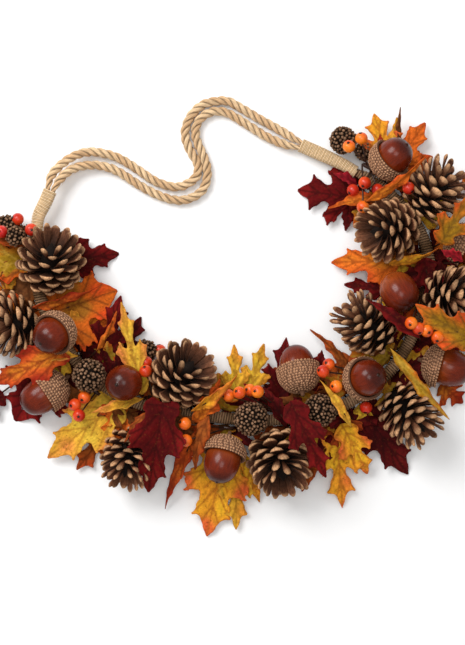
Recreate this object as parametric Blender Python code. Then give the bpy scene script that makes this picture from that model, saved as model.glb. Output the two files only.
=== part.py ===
"""Harvest door wreath: a U-shaped, twine-wrapped garland on a doubled jute hanger.

The wreath lies on its back, +Z up out of its plane, with the open side of the U and
the hanger towards +Y. Lengths below are millimetres; meshes are built in metres.
"""
import math

import bmesh
import bpy
from mathutils import Matrix, Vector, geometry

# ---------------------------------------------------------------- driving dimensions
MM = 0.001
CORE_RADIUS = 6.0          # twine-wrapped core, outside
CORE_BORE = 1.9            # hole the steel wire runs in
CORE_END_RADIUS = 4.2      # core squeezed where a whipping holds it
WIRE_RADIUS = 1.5
ROPE_RADIUS = 4.0
ROPE_END_RADIUS = 2.4      # rope squeezed where a whipping holds it
WHIP_WALL = 0.8
CORE_RUN_ON = 5.0          # length that the core runs on into the left whipping
CORE_HELD = 14.0           # length of the core kept squeezed at each end
ROPE_HELD = 9.0            # the same for the ropes
CORE_TAPER = 6.0           # length over which the core swells to its full radius
ROPE_TAPER = 16.0
GAP = 0.3                  # clearance between neighbouring pieces
BERRY_RADIUS = 6.0
STEM_RADIUS = 0.9
LEAF_THICKNESS = 1.0

# Centre line of the core, from the left whipping round the U to the right one.
CORE_ROUTE = [
    (-188, 93, 16), (-192, 62, 16), (-181, 10, 16), (-143, -47, 16), (-90, -79, 16),
    (-14, -92, 16), (41, -94, 16), (93, -85, 16), (141, -54, 16), (168, -16, 16),
    (186, 33, 16), (177, 84, 16), (145, 123, 15), (107, 147, 14),
]
# Whippings: mouth for the two ropes first, mouth for the core end last.
WHIP_LEFT = [(-176, 124, 17), (-181, 112, 16.8), (-187.1, 100.1, 16), (-188.8, 87, 16)]
WHIP_RIGHT = [(63, 168, 10), (84, 158.5, 11.5), (104.2, 148.7, 13.8), (115.6, 141.9, 14.3)]

# The two hanger ropes, laid side by side from the left whipping to the right one.
ROPE_OUTER_ROUTE = [
    (-181.1, 117.4, 17), (-178.4, 124.9, 17), (-175, 138.5, 16), (-165, 150, 13),
    (-155, 157, 11), (-145, 161, 9),
    (-134, 162, 7), (-123, 160, 6), (-113, 157, 5), (-102, 151, 4.5), (-90, 143, 4.3),
    (-78, 135, 4.3), (-65, 130, 4.3), (-53, 129, 4.3), (-42, 134, 4.3), (-36, 141, 4.3),
    (-36, 151, 4.3), (-41, 160, 4.3), (-46, 170, 4.3), (-48, 181, 4.3), (-45, 192, 4.3),
    (-39, 201, 4.3), (-30, 208, 4.3), (-18, 211, 4.3), (-7, 211, 4.3), (3, 206, 4.3),
    (13, 200, 4.3), (25, 193, 4.5), (36, 187, 5), (48, 180, 6.5), (56, 174.8, 8.5),
    (64, 170.4, 10), (71.3, 167.1, 10.4),
]
ROPE_INNER_ROUTE = [
    (-176.3, 115.6, 17), (-173.6, 123.1, 17), (-167.8, 133.5, 16), (-160, 142, 13),
    (-151, 147, 11), (-140, 149, 9),
    (-130, 149, 7), (-118, 146, 6), (-108, 141, 5), (-99, 135, 4.5), (-86, 127, 4.3),
    (-74, 121, 4.3), (-62, 117, 4.3), (-51, 116, 4.3), (-40, 119, 4.3), (-31, 126, 4.3),
    (-27, 136, 4.3), (-27, 148, 4.3), (-31, 160, 4.3), (-36, 171, 4.3), (-38, 181, 4.3),
    (-36, 190, 4.3), (-30, 197, 4.3), (-21, 201, 4.3), (-12, 201, 4.3), (-4, 198, 4.3),
    (6, 192, 4.3), (17, 185, 4.5), (28, 178, 5), (40, 172.2, 6.5), (51, 168, 8.5),
    (61.8, 165.6, 10), (69.3, 162.4, 10.4),
]

# Pine cones: centre, heading and tilt of the tip, radius over the scales, length.
CONES = {
    "pine_cone_1": ((-174, 55, 40), 80, 52, 31, 62),
    "pine_cone_2": ((-217, -2, 31.6), 181, 21, 30, 64),
    "pine_cone_3": ((-49, -50, 34), 50, 38, 31, 62),
    "pine_cone_4": ((-101, -130, 29), 260, 35, 25, 62),
    "pine_cone_5": ((43, -134, 34), 278, 42, 31, 62),
    "pine_cone_6": ((122, -2, 36), 140, 14, 27, 66),
    "pine_cone_7": ((165, -89, 36), 310, 22, 27, 64),
    "pine_cone_8": ((142, 85, 44), 188, 32, 29, 60),
    "pine_cone_9": ((190, 124, 38), 50, 20, 28, 64),
    "pine_cone_10": ((208, 22, 44), 352, 32, 30, 62),
}
# Acorns: centre of the nut, heading and tilt of its tip, radius, half length, has a cap.
ACORNS = {
    "1": ((-170, -13, 56), 220, 50, 17.0, 19, True),
    "2": ((-183, -70, 24), 215, 12, 17.0, 22, True),
    "3": ((-104, -58, 42), 190, 72, 17.0, 19, False),
    "4": ((-12, -132, 38), 255, 22, 17.0, 21, True),
    "5": ((59, -43, 26), 100, -24, 17.0, 21, True),
    "6": ((123, -53, 52), 20, 60, 17.0, 19, True),
    "7": ((153, 27, 49), 300, 30, 17.5, 20, False),
    "8": ((203, -44, 22.6), 345, 8, 18.0, 21, True),
    "9": ((148, 154, 44), 40, 35, 16.5, 19, True),
    "10": ((222, 70, 26), 330, 8, 17.0, 20, True),
}
PODS = {
    "seed_pod_1": ((-137, -51, 38.5), 15.7), "seed_pod_2": ((-85, -28, 15), 10.5),
    "seed_pod_3": ((15, -92, 38.6), 16), "seed_pod_4": ((80, -84, 38.2), 15.6),
    "seed_pod_5": ((103, 172, 17), 13), "seed_pod_6": ((124, 162, 12), 9.5),
    "seed_pod_7": ((-218, 89, 13), 12), "seed_pod_8": ((-207, 80, 33), 9.5),
}
# Berry sprays: where the stems meet (distance along the core, side, rise), the berries.
BERRIES = {
    "berries_1": ((10, 9, 16), [(-195, 86, 34), (-207, 98, 20), (-220, 84, 34)]),
    "berries_2": ((172, 9, 16), [(-142, -72, 34), (-151, -79, 32), (-147, -89, 34)]),
    "berries_3": ((228, -9, 14), [(-84, -39, 30), (-84, -47, 40), (-72, -28, 10)]),
    "berries_4": ((300, 9, 16), [(-47, -96, 38), (-47, -112, 34)]),
    "berries_5": ((348, -9, 16), [(-6, -70, 38), (4, -67, 46), (14, -65, 36), (21, -66, 47)]),
    "berries_6": ((452, -9, 16), [(82, -47, 50), (88, -41, 38), (94, -61, 52)]),
    "berries_7": ((556, -9, 24), [(162, -2, 64), (169, -7, 57), (177, -9, 50), (187, -15, 46)]),
    "berries_8": ((688, 9, 20), [(107, 164, 38), (112, 124, 22), (122, 130, 36), (135, 124, 28)]),
}
# Leaf outlines: half of each, (across, along) with the blade from 0 to 1.
MAPLE = [(0.0, 0.0), (0.30, 0.01), (0.26, 0.16), (0.50, 0.46), (0.21, 0.47), (0.29, 0.74),
         (0.15, 0.77), (0.0, 1.0)]
LOBED = [(0.0, 0.0), (0.20, 0.16), (0.50, 0.52), (0.22, 0.52), (0.22, 0.78), (0.0, 1.0)]
SLIVER = [(0.0, 0.0), (0.46, 0.36), (0.34, 0.64), (0.0, 1.0)]
# Leaf sprays: side of the core their spine wire keeps to, then the leaves as outline,
# base of the blade, tip, width, roll in degrees and the height of its bow.
LEAVES = {
    "leaves_left_top": (-3, [
        (MAPLE, (-202, 58, 8), (-254, 43, 5), 46, 0, 6),
        (SLIVER, (-196, 70, 26), (-252, 79, 14), 13, 35, 6),
        (MAPLE, (-164, 57, 4), (-111, 65, 1.6), 38, 0, 3),
        (MAPLE, (-222, 26, 1.6), (-255, 8, 1.4), 36, 0, 0),
    ]),
    "leaves_left_middle": (-3, [
        (MAPLE, (-177, 7, 9), (-113, 29, 8), 84, 0, 8),
        (SLIVER, (-195, 12, 34), (-125, 35, 24), 13, 50, 4),
        (LOBED, (-129, -38, 7), (-109, 24, 14), 40, 10, 8),
        (SLIVER, (-132, -29, 26), (-112, 10, 22), 9, 30, 6),
        (LOBED, (-112, -39, 4), (-90, 5, 1.6), 34, 0, 3),
        (LOBED, (-87, -67, 20), (-108, 18, 22), 21, 0, 10),
        (SLIVER, (-86, -73, 27), (-137, -88, 26), 14, 20, 2),
    ]),
    "leaves_left_low": (3, [
        (MAPLE, (-161, -31, 38), (-231, -66, 20), 49, -10, 8),
        (SLIVER, (-147, -33, 34), (-198, -39, 36), 13, 40, 4),
        (MAPLE, (-179, -49, 3), (-212, -96, 1.6), 70, 0, 1),
        (LOBED, (-223, -68, 3), (-254, -93, 1.6), 36, 0, 2),
    ]),
    "leaves_bottom_left": (3, [
        (MAPLE, (-113, -79, 12), (-179, -131, 7), 55, 0, 7),
        (LOBED, (-118, -99, 3), (-152, -143, 1.6), 38, 0, 1),
        (MAPLE, (-66, -76, 48), (-78, -163, 24), 60, 0, 12),
        (SLIVER, (-79, -84, 48), (-104, -114, 46), 10, 30, 4),
    ]),
    "leaves_bottom": (-3, [
        (LOBED, (2, -78, 8), (-1, -22, 12), 28, 0, 6),
        (LOBED, (11, -77, 10), (28, -21, 10), 30, 0, 6),
        (SLIVER, (-42, -85, 40), (3, -49, 44), 14, 35, 6),
        (SLIVER, (-33, -99, 30), (-68, -181, 4), 13, 40, 5),
        (MAPLE, (-11, -125, 6), (-27, -206, 1.6), 63, 0, 4),
        (LOBED, (1, -129, 4), (1, -200, 1.6), 38, 0, 2),
        (SLIVER, (8, -125, 10), (24, -175, 5), 19, 0, 5),
    ]),
    "leaves_bottom_right": (-3, [
        (LOBED, (42, -78, 8), (49, -16, 12), 40, 0, 6),
        (SLIVER, (49, -101, 26), (25, -62, 24), 19, 20, 6),
        (LOBED, (51, -74, 52), (85, -146, 50), 38, 0, 10),
        (SLIVER, (79, -47, 12), (83, -28, 12), 15, 0, 4),
    ]),
    "leaves_right_low": (3, [
        (LOBED, (96, -98, 13), (103, -179, 2), 46, 0, 6),
        (LOBED, (101, -97, 20), (127, -147, 9), 36, 0, 5),
        (SLIVER, (78, -125, 4), (64, -165, 1.6), 19, 0, 2),
        (SLIVER, (109, -100, 46), (78, -54, 56), 10, 20, 5),
        (MAPLE, (121, -83, 8), (166, -147, 1.6), 51, 0, 6),
        (SLIVER, (109, -49, 14), (71, -7, 12), 12, 25, 6),
    ]),
    "leaves_right_middle": (-3, [
        (SLIVER, (171, -16, 66), (120, 21, 66), 16, 15, 5),
        (LOBED, (154, 30, 8), (104, 35, 8), 27, 0, 4),
        (MAPLE, (159, 58, 12), (92, 56, 8), 42, 0, 5),
        (SLIVER, (140, 54, 36), (193, 68, 40), 13, 40, 5),
        (LOBED, (201, 47, 28), (156, 43, 26), 30, 0, 3),
        (LOBED, (178, 60, 30), (188, 11, 28), 32, 0, 3),
        (SLIVER, (143, -24, 60), (201, -93, 44), 14, 25, 4),
        (SLIVER, (162, -63, 4), (141, -49, 3), 17, 0, 1),
    ]),
    "leaves_right_outer": (3, [
        (LOBED, (190, 63, 44), (210, 116, 70), 44, 0, 8),
        (SLIVER, (213, 55, 48), (191, 65, 46), 14, 20, 4),
        (MAPLE, (217, -20, 50), (163, 16, 70), 42, 0, 8),
        (LOBED, (198, -60, 2), (219, -79, 1.6), 34, 0, 1),
        (MAPLE, (220, -14, 4), (255, -30, 1.6), 42, 0, 2),
        (LOBED, (220, 53, 4), (255, 66, 1.6), 38, 0, 2),
    ]),
    "leaves_right_top": (3, [
        (MAPLE, (120, 120, 4), (61, 126, 1.6), 49, 0, 2),
        (SLIVER, (112, 116, 5), (106, 86, 1.6), 17, 0, 2),
        (SLIVER, (117, 129, 16), (94, 140, 14), 12, 25, 4),
        (LOBED, (146, 148, 10), (134, 198, 8), 34, 0, 6),
        (SLIVER, (149, 148, 16), (154, 196, 14), 12, 0, 4),
        (LOBED, (153, 148, 8), (181, 190, 8), 30, 0, 5),
        (LOBED, (156, 143, 3), (186, 156, 1.6), 28, 0, 2),
        (SLIVER, (153, 153, 20), (158, 206, 14), 7, 0, 4),
        (SLIVER, (135, 156, 32), (136, 176, 34), 10, 15, 4),
        (SLIVER, (121, 111, 44), (178, 153, 60), 14, 35, 6),
        (SLIVER, (138, 119, 22), (88, 107, 12), 12, 15, 5),
        (LOBED, (219, 127, 3), (252, 140, 1.6), 36, 0, 2),
    ]),
}
COLOURS = {
    "core_wire": (0.35, 0.34, 0.33), "core_wrap": (0.16, 0.12, 0.09),
    "whipping": (0.55, 0.40, 0.24), "rope": (0.58, 0.40, 0.22), "cone": (0.16, 0.09, 0.055),
    "nut": (0.24, 0.07, 0.03), "cap": (0.33, 0.20, 0.12), "pod": (0.12, 0.10, 0.085),
    "berries": (0.80, 0.16, 0.05), "gold": (0.72, 0.42, 0.06), "wine": (0.22, 0.03, 0.04),
    "orange": (0.72, 0.24, 0.05),
}
LEAF_COLOUR = {
    "leaves_left_top": "gold", "leaves_left_middle": "orange", "leaves_left_low": "orange",
    "leaves_bottom_left": "wine", "leaves_bottom": "gold", "leaves_bottom_right": "wine",
    "leaves_right_low": "gold", "leaves_right_middle": "wine", "leaves_right_outer": "gold",
    "leaves_right_top": "orange",
}


# ---------------------------------------------------------------- small helpers
def clear_scene():
    """Remove everything the start file holds."""
    for item in list(bpy.data.objects):
        bpy.data.objects.remove(item, do_unlink=True)


def material(name, kind, roughness=0.7, metallic=0.0):
    """A plain Principled material of one colour for one node."""
    mat = bpy.data.materials.new(name)
    mat.use_nodes = True
    bsdf = mat.node_tree.nodes["Principled BSDF"]
    bsdf.inputs["Base Color"].default_value = (*COLOURS[kind], 1.0)
    bsdf.inputs["Roughness"].default_value = roughness
    bsdf.inputs["Metallic"].default_value = metallic
    return mat


def new_object(name, verts, faces):
    """Object from vertices in millimetres."""
    mesh = bpy.data.meshes.new(name)
    mesh.from_pydata([tuple(c * MM for c in v) for v in verts], [], faces)
    bm = bmesh.new()
    bm.from_mesh(mesh)
    bmesh.ops.triangulate(bm, faces=bm.faces[:])
    bmesh.ops.recalc_face_normals(bm, faces=bm.faces[:])
    bm.to_mesh(mesh)
    bm.free()
    obj = bpy.data.objects.new(name, mesh)
    bpy.context.collection.objects.link(obj)
    return obj


def finish(obj, name, kind, roughness=0.7, metallic=0.0, flat=0.6):
    """Name the node, merge its flat facets, face it outwards and give it its material."""
    obj.name = name
    obj.data.name = name
    bm = bmesh.new()
    bm.from_mesh(obj.data)
    bmesh.ops.dissolve_limit(bm, angle_limit=math.radians(flat), verts=bm.verts[:], edges=bm.edges[:])
    bmesh.ops.triangulate(bm, faces=bm.faces[:])
    bmesh.ops.recalc_face_normals(bm, faces=bm.faces[:])
    bm.to_mesh(obj.data)
    bm.free()
    obj.data.materials.clear()
    obj.data.materials.append(material(name, kind, roughness, metallic))
    return obj


def box_of(obj):
    """Lowest and highest corner of an object's vertices."""
    cols = list(zip(*[tuple(v.co) for v in obj.data.vertices]))
    return [min(c) for c in cols], [max(c) for c in cols]


def boxes_meet(one, other):
    """True where two objects' boxes overlap."""
    if not one.data.vertices or not other.data.vertices:
        return False
    a, b = box_of(one), box_of(other)
    return all(a[0][i] < b[1][i] and b[0][i] < a[1][i] for i in range(3))


def boolean(obj, other, operation):
    """Apply one Boolean of two closed meshes and leave the other object as it is.

    The exact solver fails on these shapes: it empties the cap and the nut of acorn 5, and
    it leaves the left middle leaf spray open or uncut. So each cut uses the manifold solver.
    """
    mod = obj.modifiers.new("cut", "BOOLEAN")
    mod.operation = operation
    mod.solver = "MANIFOLD"
    mod.object = other
    graph = bpy.context.evaluated_depsgraph_get()
    mesh = bpy.data.meshes.new_from_object(obj.evaluated_get(graph))
    obj.modifiers.remove(mod)
    old = obj.data
    obj.data = mesh
    bpy.data.meshes.remove(old)


def drop(objects):
    """Remove guide solids that have done their cutting."""
    for obj in objects:
        bpy.data.objects.remove(obj, do_unlink=True)


def islands(bm):
    """Faces grouped into connected bodies."""
    seen, groups = set(), []
    for start in bm.faces:
        if start.index in seen:
            continue
        stack, group = [start], []
        seen.add(start.index)
        while stack:
            face = stack.pop()
            group.append(face)
            for edge in face.edges:
                for near in edge.link_faces:
                    if near.index not in seen:
                        seen.add(near.index)
                        stack.append(near)
        groups.append(group)
    return groups


def keep_main_body(obj):
    """Keep only the body with the most surface."""
    bm = bmesh.new()
    bm.from_mesh(obj.data)
    bm.faces.ensure_lookup_table()
    bm.faces.index_update()
    groups = islands(bm)
    if len(groups) > 1:
        groups.sort(key=lambda g: sum(f.calc_area() for f in g))
        loose = [f for group in groups[:-1] for f in group]
        bmesh.ops.delete(bm, geom=loose, context="FACES")
    bm.to_mesh(obj.data)
    bm.free()


def smooth_route(points, step):
    """Even points on a centripetal Catmull-Rom curve through the route points."""
    pts = [Vector(p) for p in points]
    pts = [2 * pts[0] - pts[1]] + pts + [2 * pts[-1] - pts[-2]]
    dense = []
    for a, b, c, d in zip(pts, pts[1:], pts[2:], pts[3:]):
        for k in range(12):
            t = k / 12
            dense.append(0.5 * (2 * b + (c - a) * t + (2 * a - 5 * b + 4 * c - d) * t * t
                                + (3 * b - a - 3 * c + d) * t ** 3))
    dense.append(pts[-2])
    return resample(dense, step)


def resample(dense, step):
    """Points spaced evenly along a polyline, ends kept."""
    reach = [0.0]
    for a, b in zip(dense, dense[1:]):
        reach.append(reach[-1] + (b - a).length)
    count = max(2, round(reach[-1] / step))
    out, k = [], 0
    for i in range(count + 1):
        want = reach[-1] * i / count
        while k < len(dense) - 2 and reach[k + 1] < want:
            k += 1
        span = max(reach[k + 1] - reach[k], 1e-9)
        out.append(dense[k].lerp(dense[k + 1], min(1.0, (want - reach[k]) / span)))
    return out


def frames_along(points):
    """Tangent, side and up vectors at each point, with the side kept level."""
    out = []
    for i, p in enumerate(points):
        tangent = (points[min(i + 1, len(points) - 1)] - points[max(i - 1, 0)]).normalized()
        side = tangent.cross(Vector((0, 0, 1)))
        if side.length < 0.05:
            side = out[-1][2].copy() if out else Vector((1, 0, 0))
        side = (side - tangent * side.dot(tangent)).normalized()
        out.append((p, tangent, side, side.cross(tangent)))
    return out


def skin(rings, caps=True):
    """Vertices and faces of a surface through equal rings, fanned shut at both ends."""
    n = len(rings[0])
    verts = [tuple(v) for ring in rings for v in ring]
    faces = []
    for r in range(len(rings) - 1):
        for k in range(n):
            a, b = r * n + k, r * n + (k + 1) % n
            faces.append((a, b, b + n, a + n))
    if caps:
        faces.append(tuple(reversed(range(n))))
        faces.append(tuple(range((len(rings) - 1) * n, len(rings) * n)))
    return verts, faces


def tube(points, radii, sides, name="tube"):
    """Round bar through points, one radius per point."""
    rings = []
    turns = [2 * math.pi * (k + 0.37) / sides for k in range(sides)]
    for (p, _, side, up), radius in zip(frames_along(points), radii):
        rings.append([p + side * radius * math.cos(turn) + up * radius * math.sin(turn)
                      for turn in turns])
    return new_object(name, *skin(rings))


def pose(centre, heading, tilt):
    """Matrix that turns local +Z to a heading and a tilt above the plane."""
    yaw = Matrix.Rotation(math.radians(heading), 4, "Z")
    pitch = Matrix.Rotation(math.radians(90 - tilt), 4, "Y")
    return Matrix.Translation(Vector(centre)) @ yaw @ pitch


def lathe(profile, segments, matrix, name, jag=0.0):
    """Turned body: (radius, height) pairs, a pole wherever the radius is zero."""
    verts, faces, rows = [], [], []
    for level, (radius, height) in enumerate(profile):
        if radius == 0:
            rows.append([len(verts)])
            verts.append(matrix @ Vector((0, 0, height)))
            continue
        row = []
        for k in range(segments):
            turn = 2 * math.pi * (k + 0.5 * (level % 2)) / segments
            reach = radius * (1 - jag * ((k + level) % 2))
            row.append(len(verts))
            verts.append(matrix @ Vector((reach * math.cos(turn), reach * math.sin(turn), height)))
        rows.append(row)
    for low, high in zip(rows, rows[1:]):
        for k in range(segments):
            j = (k + 1) % segments
            if len(low) == 1:
                faces.append((low[0], high[j], high[k]))
            elif len(high) == 1:
                faces.append((low[k], low[j], high[0]))
            else:
                faces.append((low[k], low[j], high[j], high[k]))
    return new_object(name, verts, faces)


# ---------------------------------------------------------------- core, ropes, whippings
def core_line():
    """Points down the middle of the core, run on into the left whipping."""
    line = smooth_route(CORE_ROUTE, 32)
    inward = (line[0] - line[1]).normalized()
    return [line[0] + inward * CORE_RUN_ON] + line


def squeezed(points, full, end, reach, taper):
    """Radius at each point, tapering to the squeezed radius near both ends."""
    out, total = [], sum((b - a).length for a, b in zip(points, points[1:]))
    gone = 0.0
    for i, p in enumerate(points):
        if i:
            gone += (p - points[i - 1]).length
        near = min(gone, total - gone)
        mix = min(1.0, max(0.0, (near - reach) / taper))
        out.append(end + (full - end) * mix)
    return out


def with_end_points(points, reach):
    """Route with extra points where the squeezed ends begin."""
    head = points[0].lerp(points[1], reach / (points[1] - points[0]).length)
    tail = points[-1].lerp(points[-2], reach / (points[-1] - points[-2]).length)
    return [points[0], head] + points[1:-1] + [tail, points[-1]]


def build_core():
    """Steel wire inside a hollow sleeve of wound twine."""
    line = core_line()
    # Two more rings where the squeezed ends stop, so that the taper stays short.
    line.insert(2, line[1].lerp(line[2], 0.3))
    line.insert(-1, line[-1].lerp(line[-2], 0.38))
    wire = tube(line, [WIRE_RADIUS] * len(line), 6)
    finish(wire, "core_wire", "core_wire", 0.4, 1.0)
    radii = squeezed(line, CORE_RADIUS, CORE_END_RADIUS, CORE_HELD, CORE_TAPER)
    outer, inner = [], []
    for (p, _, side, up), radius in zip(frames_along(line), radii):
        turns = [(math.cos(math.pi * k / 4), math.sin(math.pi * k / 4)) for k in range(8)]
        outer.append([p + side * radius * c + up * radius * s for c, s in turns])
        inner.append([p + side * CORE_BORE * c + up * CORE_BORE * s for c, s in turns])
    loop = outer + list(reversed(inner))
    verts, faces = skin(loop, caps=False)
    last, n = (len(loop) - 1) * 8, 8
    faces += [(last + k, last + (k + 1) % n, (k + 1) % n, k) for k in range(n)]
    finish(new_object("core_wrap", verts, faces), "core_wrap", "core_wrap", 0.9)


def stadium(p, side, up, half_flat, radius, sides=12):
    """Ring with round ends and level flats."""
    ring = []
    for k in range(sides):
        angle = 2 * math.pi * (k + 0.5) / sides
        shift = half_flat if math.cos(angle) > 0 else -half_flat
        ring.append(p + side * (shift + radius * math.cos(angle)) + up * radius * math.sin(angle))
    return ring


def build_whipping(name, route):
    """Whipping: a flat-sided mouth for two ropes narrowing to a round one for the core."""
    line = smooth_route(route, 4.4)
    frames = frames_along(line)
    total = len(frames) - 1
    rope_socket = ROPE_END_RADIUS + 2 * GAP
    core_socket = CORE_END_RADIUS + 2 * GAP
    half_flat = ROPE_END_RADIUS + GAP / 2
    outer = []
    for i, (p, _, side, up) in enumerate(frames):
        t = min(1.0, max(0.0, (i / total - 0.35) / 0.5))
        radius = (rope_socket + WHIP_WALL) * (1 - t) + (core_socket + WHIP_WALL) * t
        outer.append(stadium(p, side, up, half_flat * (1 - t), radius))
    deep = 2
    mouth = [stadium(p, s, u, half_flat, rope_socket) for p, _, s, u in frames[:deep + 1]]
    back = [stadium(p, s, u, 0.0, core_socket) for p, _, s, u in frames[-4:]]
    rings = list(reversed(mouth)) + outer + list(reversed(back))
    finish(new_object(name, *skin(rings)), name, "whipping", 0.9)


def build_rope(name, route):
    """Hanger rope as a bevelled curve, squeezed where the whippings hold it."""
    points = with_end_points(smooth_route(route, 10.5), 4)
    curve = bpy.data.curves.new(name, "CURVE")
    curve.dimensions = "3D"
    curve.bevel_depth = ROPE_RADIUS * MM
    curve.bevel_resolution = 2
    curve.use_fill_caps = True
    spline = curve.splines.new("POLY")
    spline.points.add(len(points) - 1)
    radii = squeezed(points, 1.0, ROPE_END_RADIUS / ROPE_RADIUS, ROPE_HELD, ROPE_TAPER)
    for point, place, radius in zip(spline.points, points, radii):
        point.co = (*(place * MM), 1.0)
        point.radius = radius
    obj = bpy.data.objects.new(name, curve)
    bpy.context.collection.objects.link(obj)
    obj.data.materials.append(material(name, "rope", 0.9))


def beside_core(along, side, rise):
    """Point beside the core: distance along it, offset outwards, height."""
    line = smooth_route(CORE_ROUTE, 4)
    reach = 0.0
    for a, b in zip(line, line[1:]):
        step = (b - a).length
        if reach + step >= along:
            p = a.lerp(b, (along - reach) / step)
            tangent = (b - a).normalized()
            out = Vector((tangent.y, -tangent.x, 0)).normalized()
            return Vector((p.x, p.y, rise)) + out * side, tangent
        reach += step
    return Vector((line[-1].x, line[-1].y, rise)), (line[-1] - line[-2]).normalized()


# ---------------------------------------------------------------- cones, acorns, pods
def cone_profile(radius, length, grow=0.0):
    """Stepped outline of an open cone: tiers of scales narrowing to the tip."""
    tiers = [(0.40, -0.44), (0.72, -0.37), (0.72, -0.30), (0.98, -0.18), (0.88, -0.08),
             (1.00, 0.05), (0.80, 0.16), (0.80, 0.28), (0.54, 0.37), (0.30, 0.51)]
    rows = [(r * radius + grow, z * length) for r, z in tiers]
    return [(0.0, -0.45 * length - grow)] + rows + [(0.0, 0.53 * length + grow)]


def nut_profile(radius, half, grow=0.0):
    """Acorn nut: flat seat, round sides and a short point."""
    shape = [(0.55, -0.96), (0.88, -0.68), (1.00, -0.22), (0.98, 0.25), (0.78, 0.66),
             (0.40, 0.92)]
    rows = [(r * radius + grow, z * half) for r, z in shape]
    return [(0.0, -0.98 * half - grow)] + rows + [(0.0, half + 1.2 + grow)]


def cap_profile(radius, half, grow=0.0):
    """Acorn cap: stub of stalk, domed outside, rim and a seat that clears the nut."""
    outer = [(2.2 + grow, -1.42 * half), (3.4 + grow, -1.20 * half),
             (0.70 * radius + grow, -1.13 * half), (1.06 * radius + grow, -0.80 * half),
             (1.23 * radius + grow, -0.10 * half)]
    rim = [(1.06 * radius, 0.02 * half), (1.05 * radius, -0.22 * half),
           (0.94 * radius, -0.68 * half), (0.60 * radius, -1.01 * half)]
    if grow:
        return ([(0.0, -1.42 * half - grow)] + outer
                + [(1.06 * radius + grow, 0.02 * half + grow), (0.0, 0.02 * half + grow)])
    return [(0.0, -1.42 * half)] + outer + rim + [(0.0, -1.03 * half)]


def pod_profile(radius, grow=0.0, rows_high=5):
    """Round seed pod or berry."""
    rows = []
    for k in range(1, rows_high + 1):
        angle = math.pi * k / (rows_high + 1)
        rows.append(((radius + grow) * math.sin(angle), -(radius + grow) * math.cos(angle)))
    return [(0.0, -radius - grow)] + rows + [(0.0, radius + grow)]


def hard_pieces(grow=0.0):
    """Every cone, nut, cap and pod as (name, kind, object), optionally grown as a cutter."""
    out = []
    for name, (centre, heading, tilt, radius, length) in CONES.items():
        place = pose(centre, heading, tilt)
        body = lathe(cone_profile(radius, length, grow), 10, place, "cone", 0.12)
        out.append((name, "cone", body))
    for key, (centre, heading, tilt, radius, half, capped) in ACORNS.items():
        place = pose(centre, heading, tilt)
        body = lathe(nut_profile(radius, half, grow), 10, place, "nut")
        out.append(("acorn_nut_" + key, "nut", body))
        if capped:
            cap = lathe(cap_profile(radius, half, grow), 10, place, "cap")
            out.append(("acorn_cap_" + key, "cap", cap))
    for name, (centre, radius) in PODS.items():
        out.append((name, "pod", lathe(pod_profile(radius, grow), 9, pose(centre, 30, 70), "pod")))
    return out


# ---------------------------------------------------------------- leaves and berries
def blade_surface(leaf):
    """Function from (across, along) to a point and normal on a leaf's bowed surface."""
    _, base, tip, width, roll, bow = leaf
    base, tip = Vector(base), Vector(tip)
    chord = tip - base
    along = chord.normalized()
    side = along.cross(Vector((0, 0, 1))).normalized()
    side = Matrix.Rotation(math.radians(roll), 3, along) @ side
    up = side.cross(along)
    fold = 0.16

    def surface(u, v):
        lift = bow * 4 * v * (1 - v) + fold * abs(u) * width
        slope = bow * 4 * (1 - 2 * v) / chord.length
        normal = (up - along * slope - side * math.copysign(fold, u) * 0.5).normalized()
        return base + chord * v + side * u * width + up * lift, normal

    return surface


def outline_points(half):
    """Closed outline from its right half."""
    return list(half) + [(-u, v) for u, v in reversed(half[1:-1])]


def build_blade(leaf, grow=0.0):
    """Leaf blade as a thin closed slab on its bowed surface."""
    edge = outline_points(leaf[0])
    if grow:
        edge = [(u * 1.04, 0.5 + (v - 0.5) * 1.03) for u, v in edge]
    inner = [(0.0, v) for v in (0.3, 0.65)]
    flat = [Vector((u * 0.9, v)) for u, v in edge + inner]
    count = len(edge)
    found = geometry.delaunay_2d_cdt(flat, [], [list(range(count))], 1, 1e-5)
    surface = blade_surface(leaf)
    half = LEAF_THICKNESS / 2 + grow
    top, bottom = [], []
    for co in found[0]:
        place, normal = surface(co.x / 0.9, co.y)
        top.append(place + normal * half)
        bottom.append(place - normal * half)
    n = len(top)
    faces = [tuple(f) for f in found[2]]
    uses = {}
    for f in faces:
        for a, b in zip(f, f[1:] + f[:1]):
            uses[(a, b)] = True
    border = [(a, b) for a, b in uses if (b, a) not in uses]
    shell = faces + [tuple(n + k for k in reversed(f)) for f in faces]
    shell += [(b, a, a + n, b + n) for a, b in border]
    return new_object("blade", top + bottom, shell)


def nearest_along(place):
    """Distance along the core of the point nearest to a place, seen from above."""
    line = smooth_route(CORE_ROUTE, 4)
    gaps = [(Vector((p.x - place.x, p.y - place.y)).length, i) for i, p in enumerate(line)]
    return min(gaps)[1] * core_length() / (len(line) - 1)


def core_length():
    """Length of the core's centre line."""
    line = smooth_route(CORE_ROUTE, 4)
    return sum((b - a).length for a, b in zip(line, line[1:]))


def stem_route(leaf, station, lane, rise):
    """Stem down a blade's midrib, past the core's flank and onto the spray's spine."""
    surface = blade_surface(leaf)
    base = Vector(leaf[1])
    centre, tangent = beside_core(station, 0, 16)
    out = Vector((tangent.y, -tangent.x, 0))
    side = 1 if (base - centre).dot(out) > 0 else -1
    points = [surface(0.0, v)[0] for v in (0.3, 0.02)]
    if base.z > 16:
        points.append(beside_core(station, side * 8.6, 17)[0])
    if side * lane > 0:
        points.append(beside_core(station, side * 7.4, 8)[0])
    else:
        points.append(beside_core(station, side * 7, 4.6)[0])
        points.append(beside_core(station, side * 1.5, 4.2)[0])
    points.append(beside_core(station, lane, rise)[0])
    return points


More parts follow.
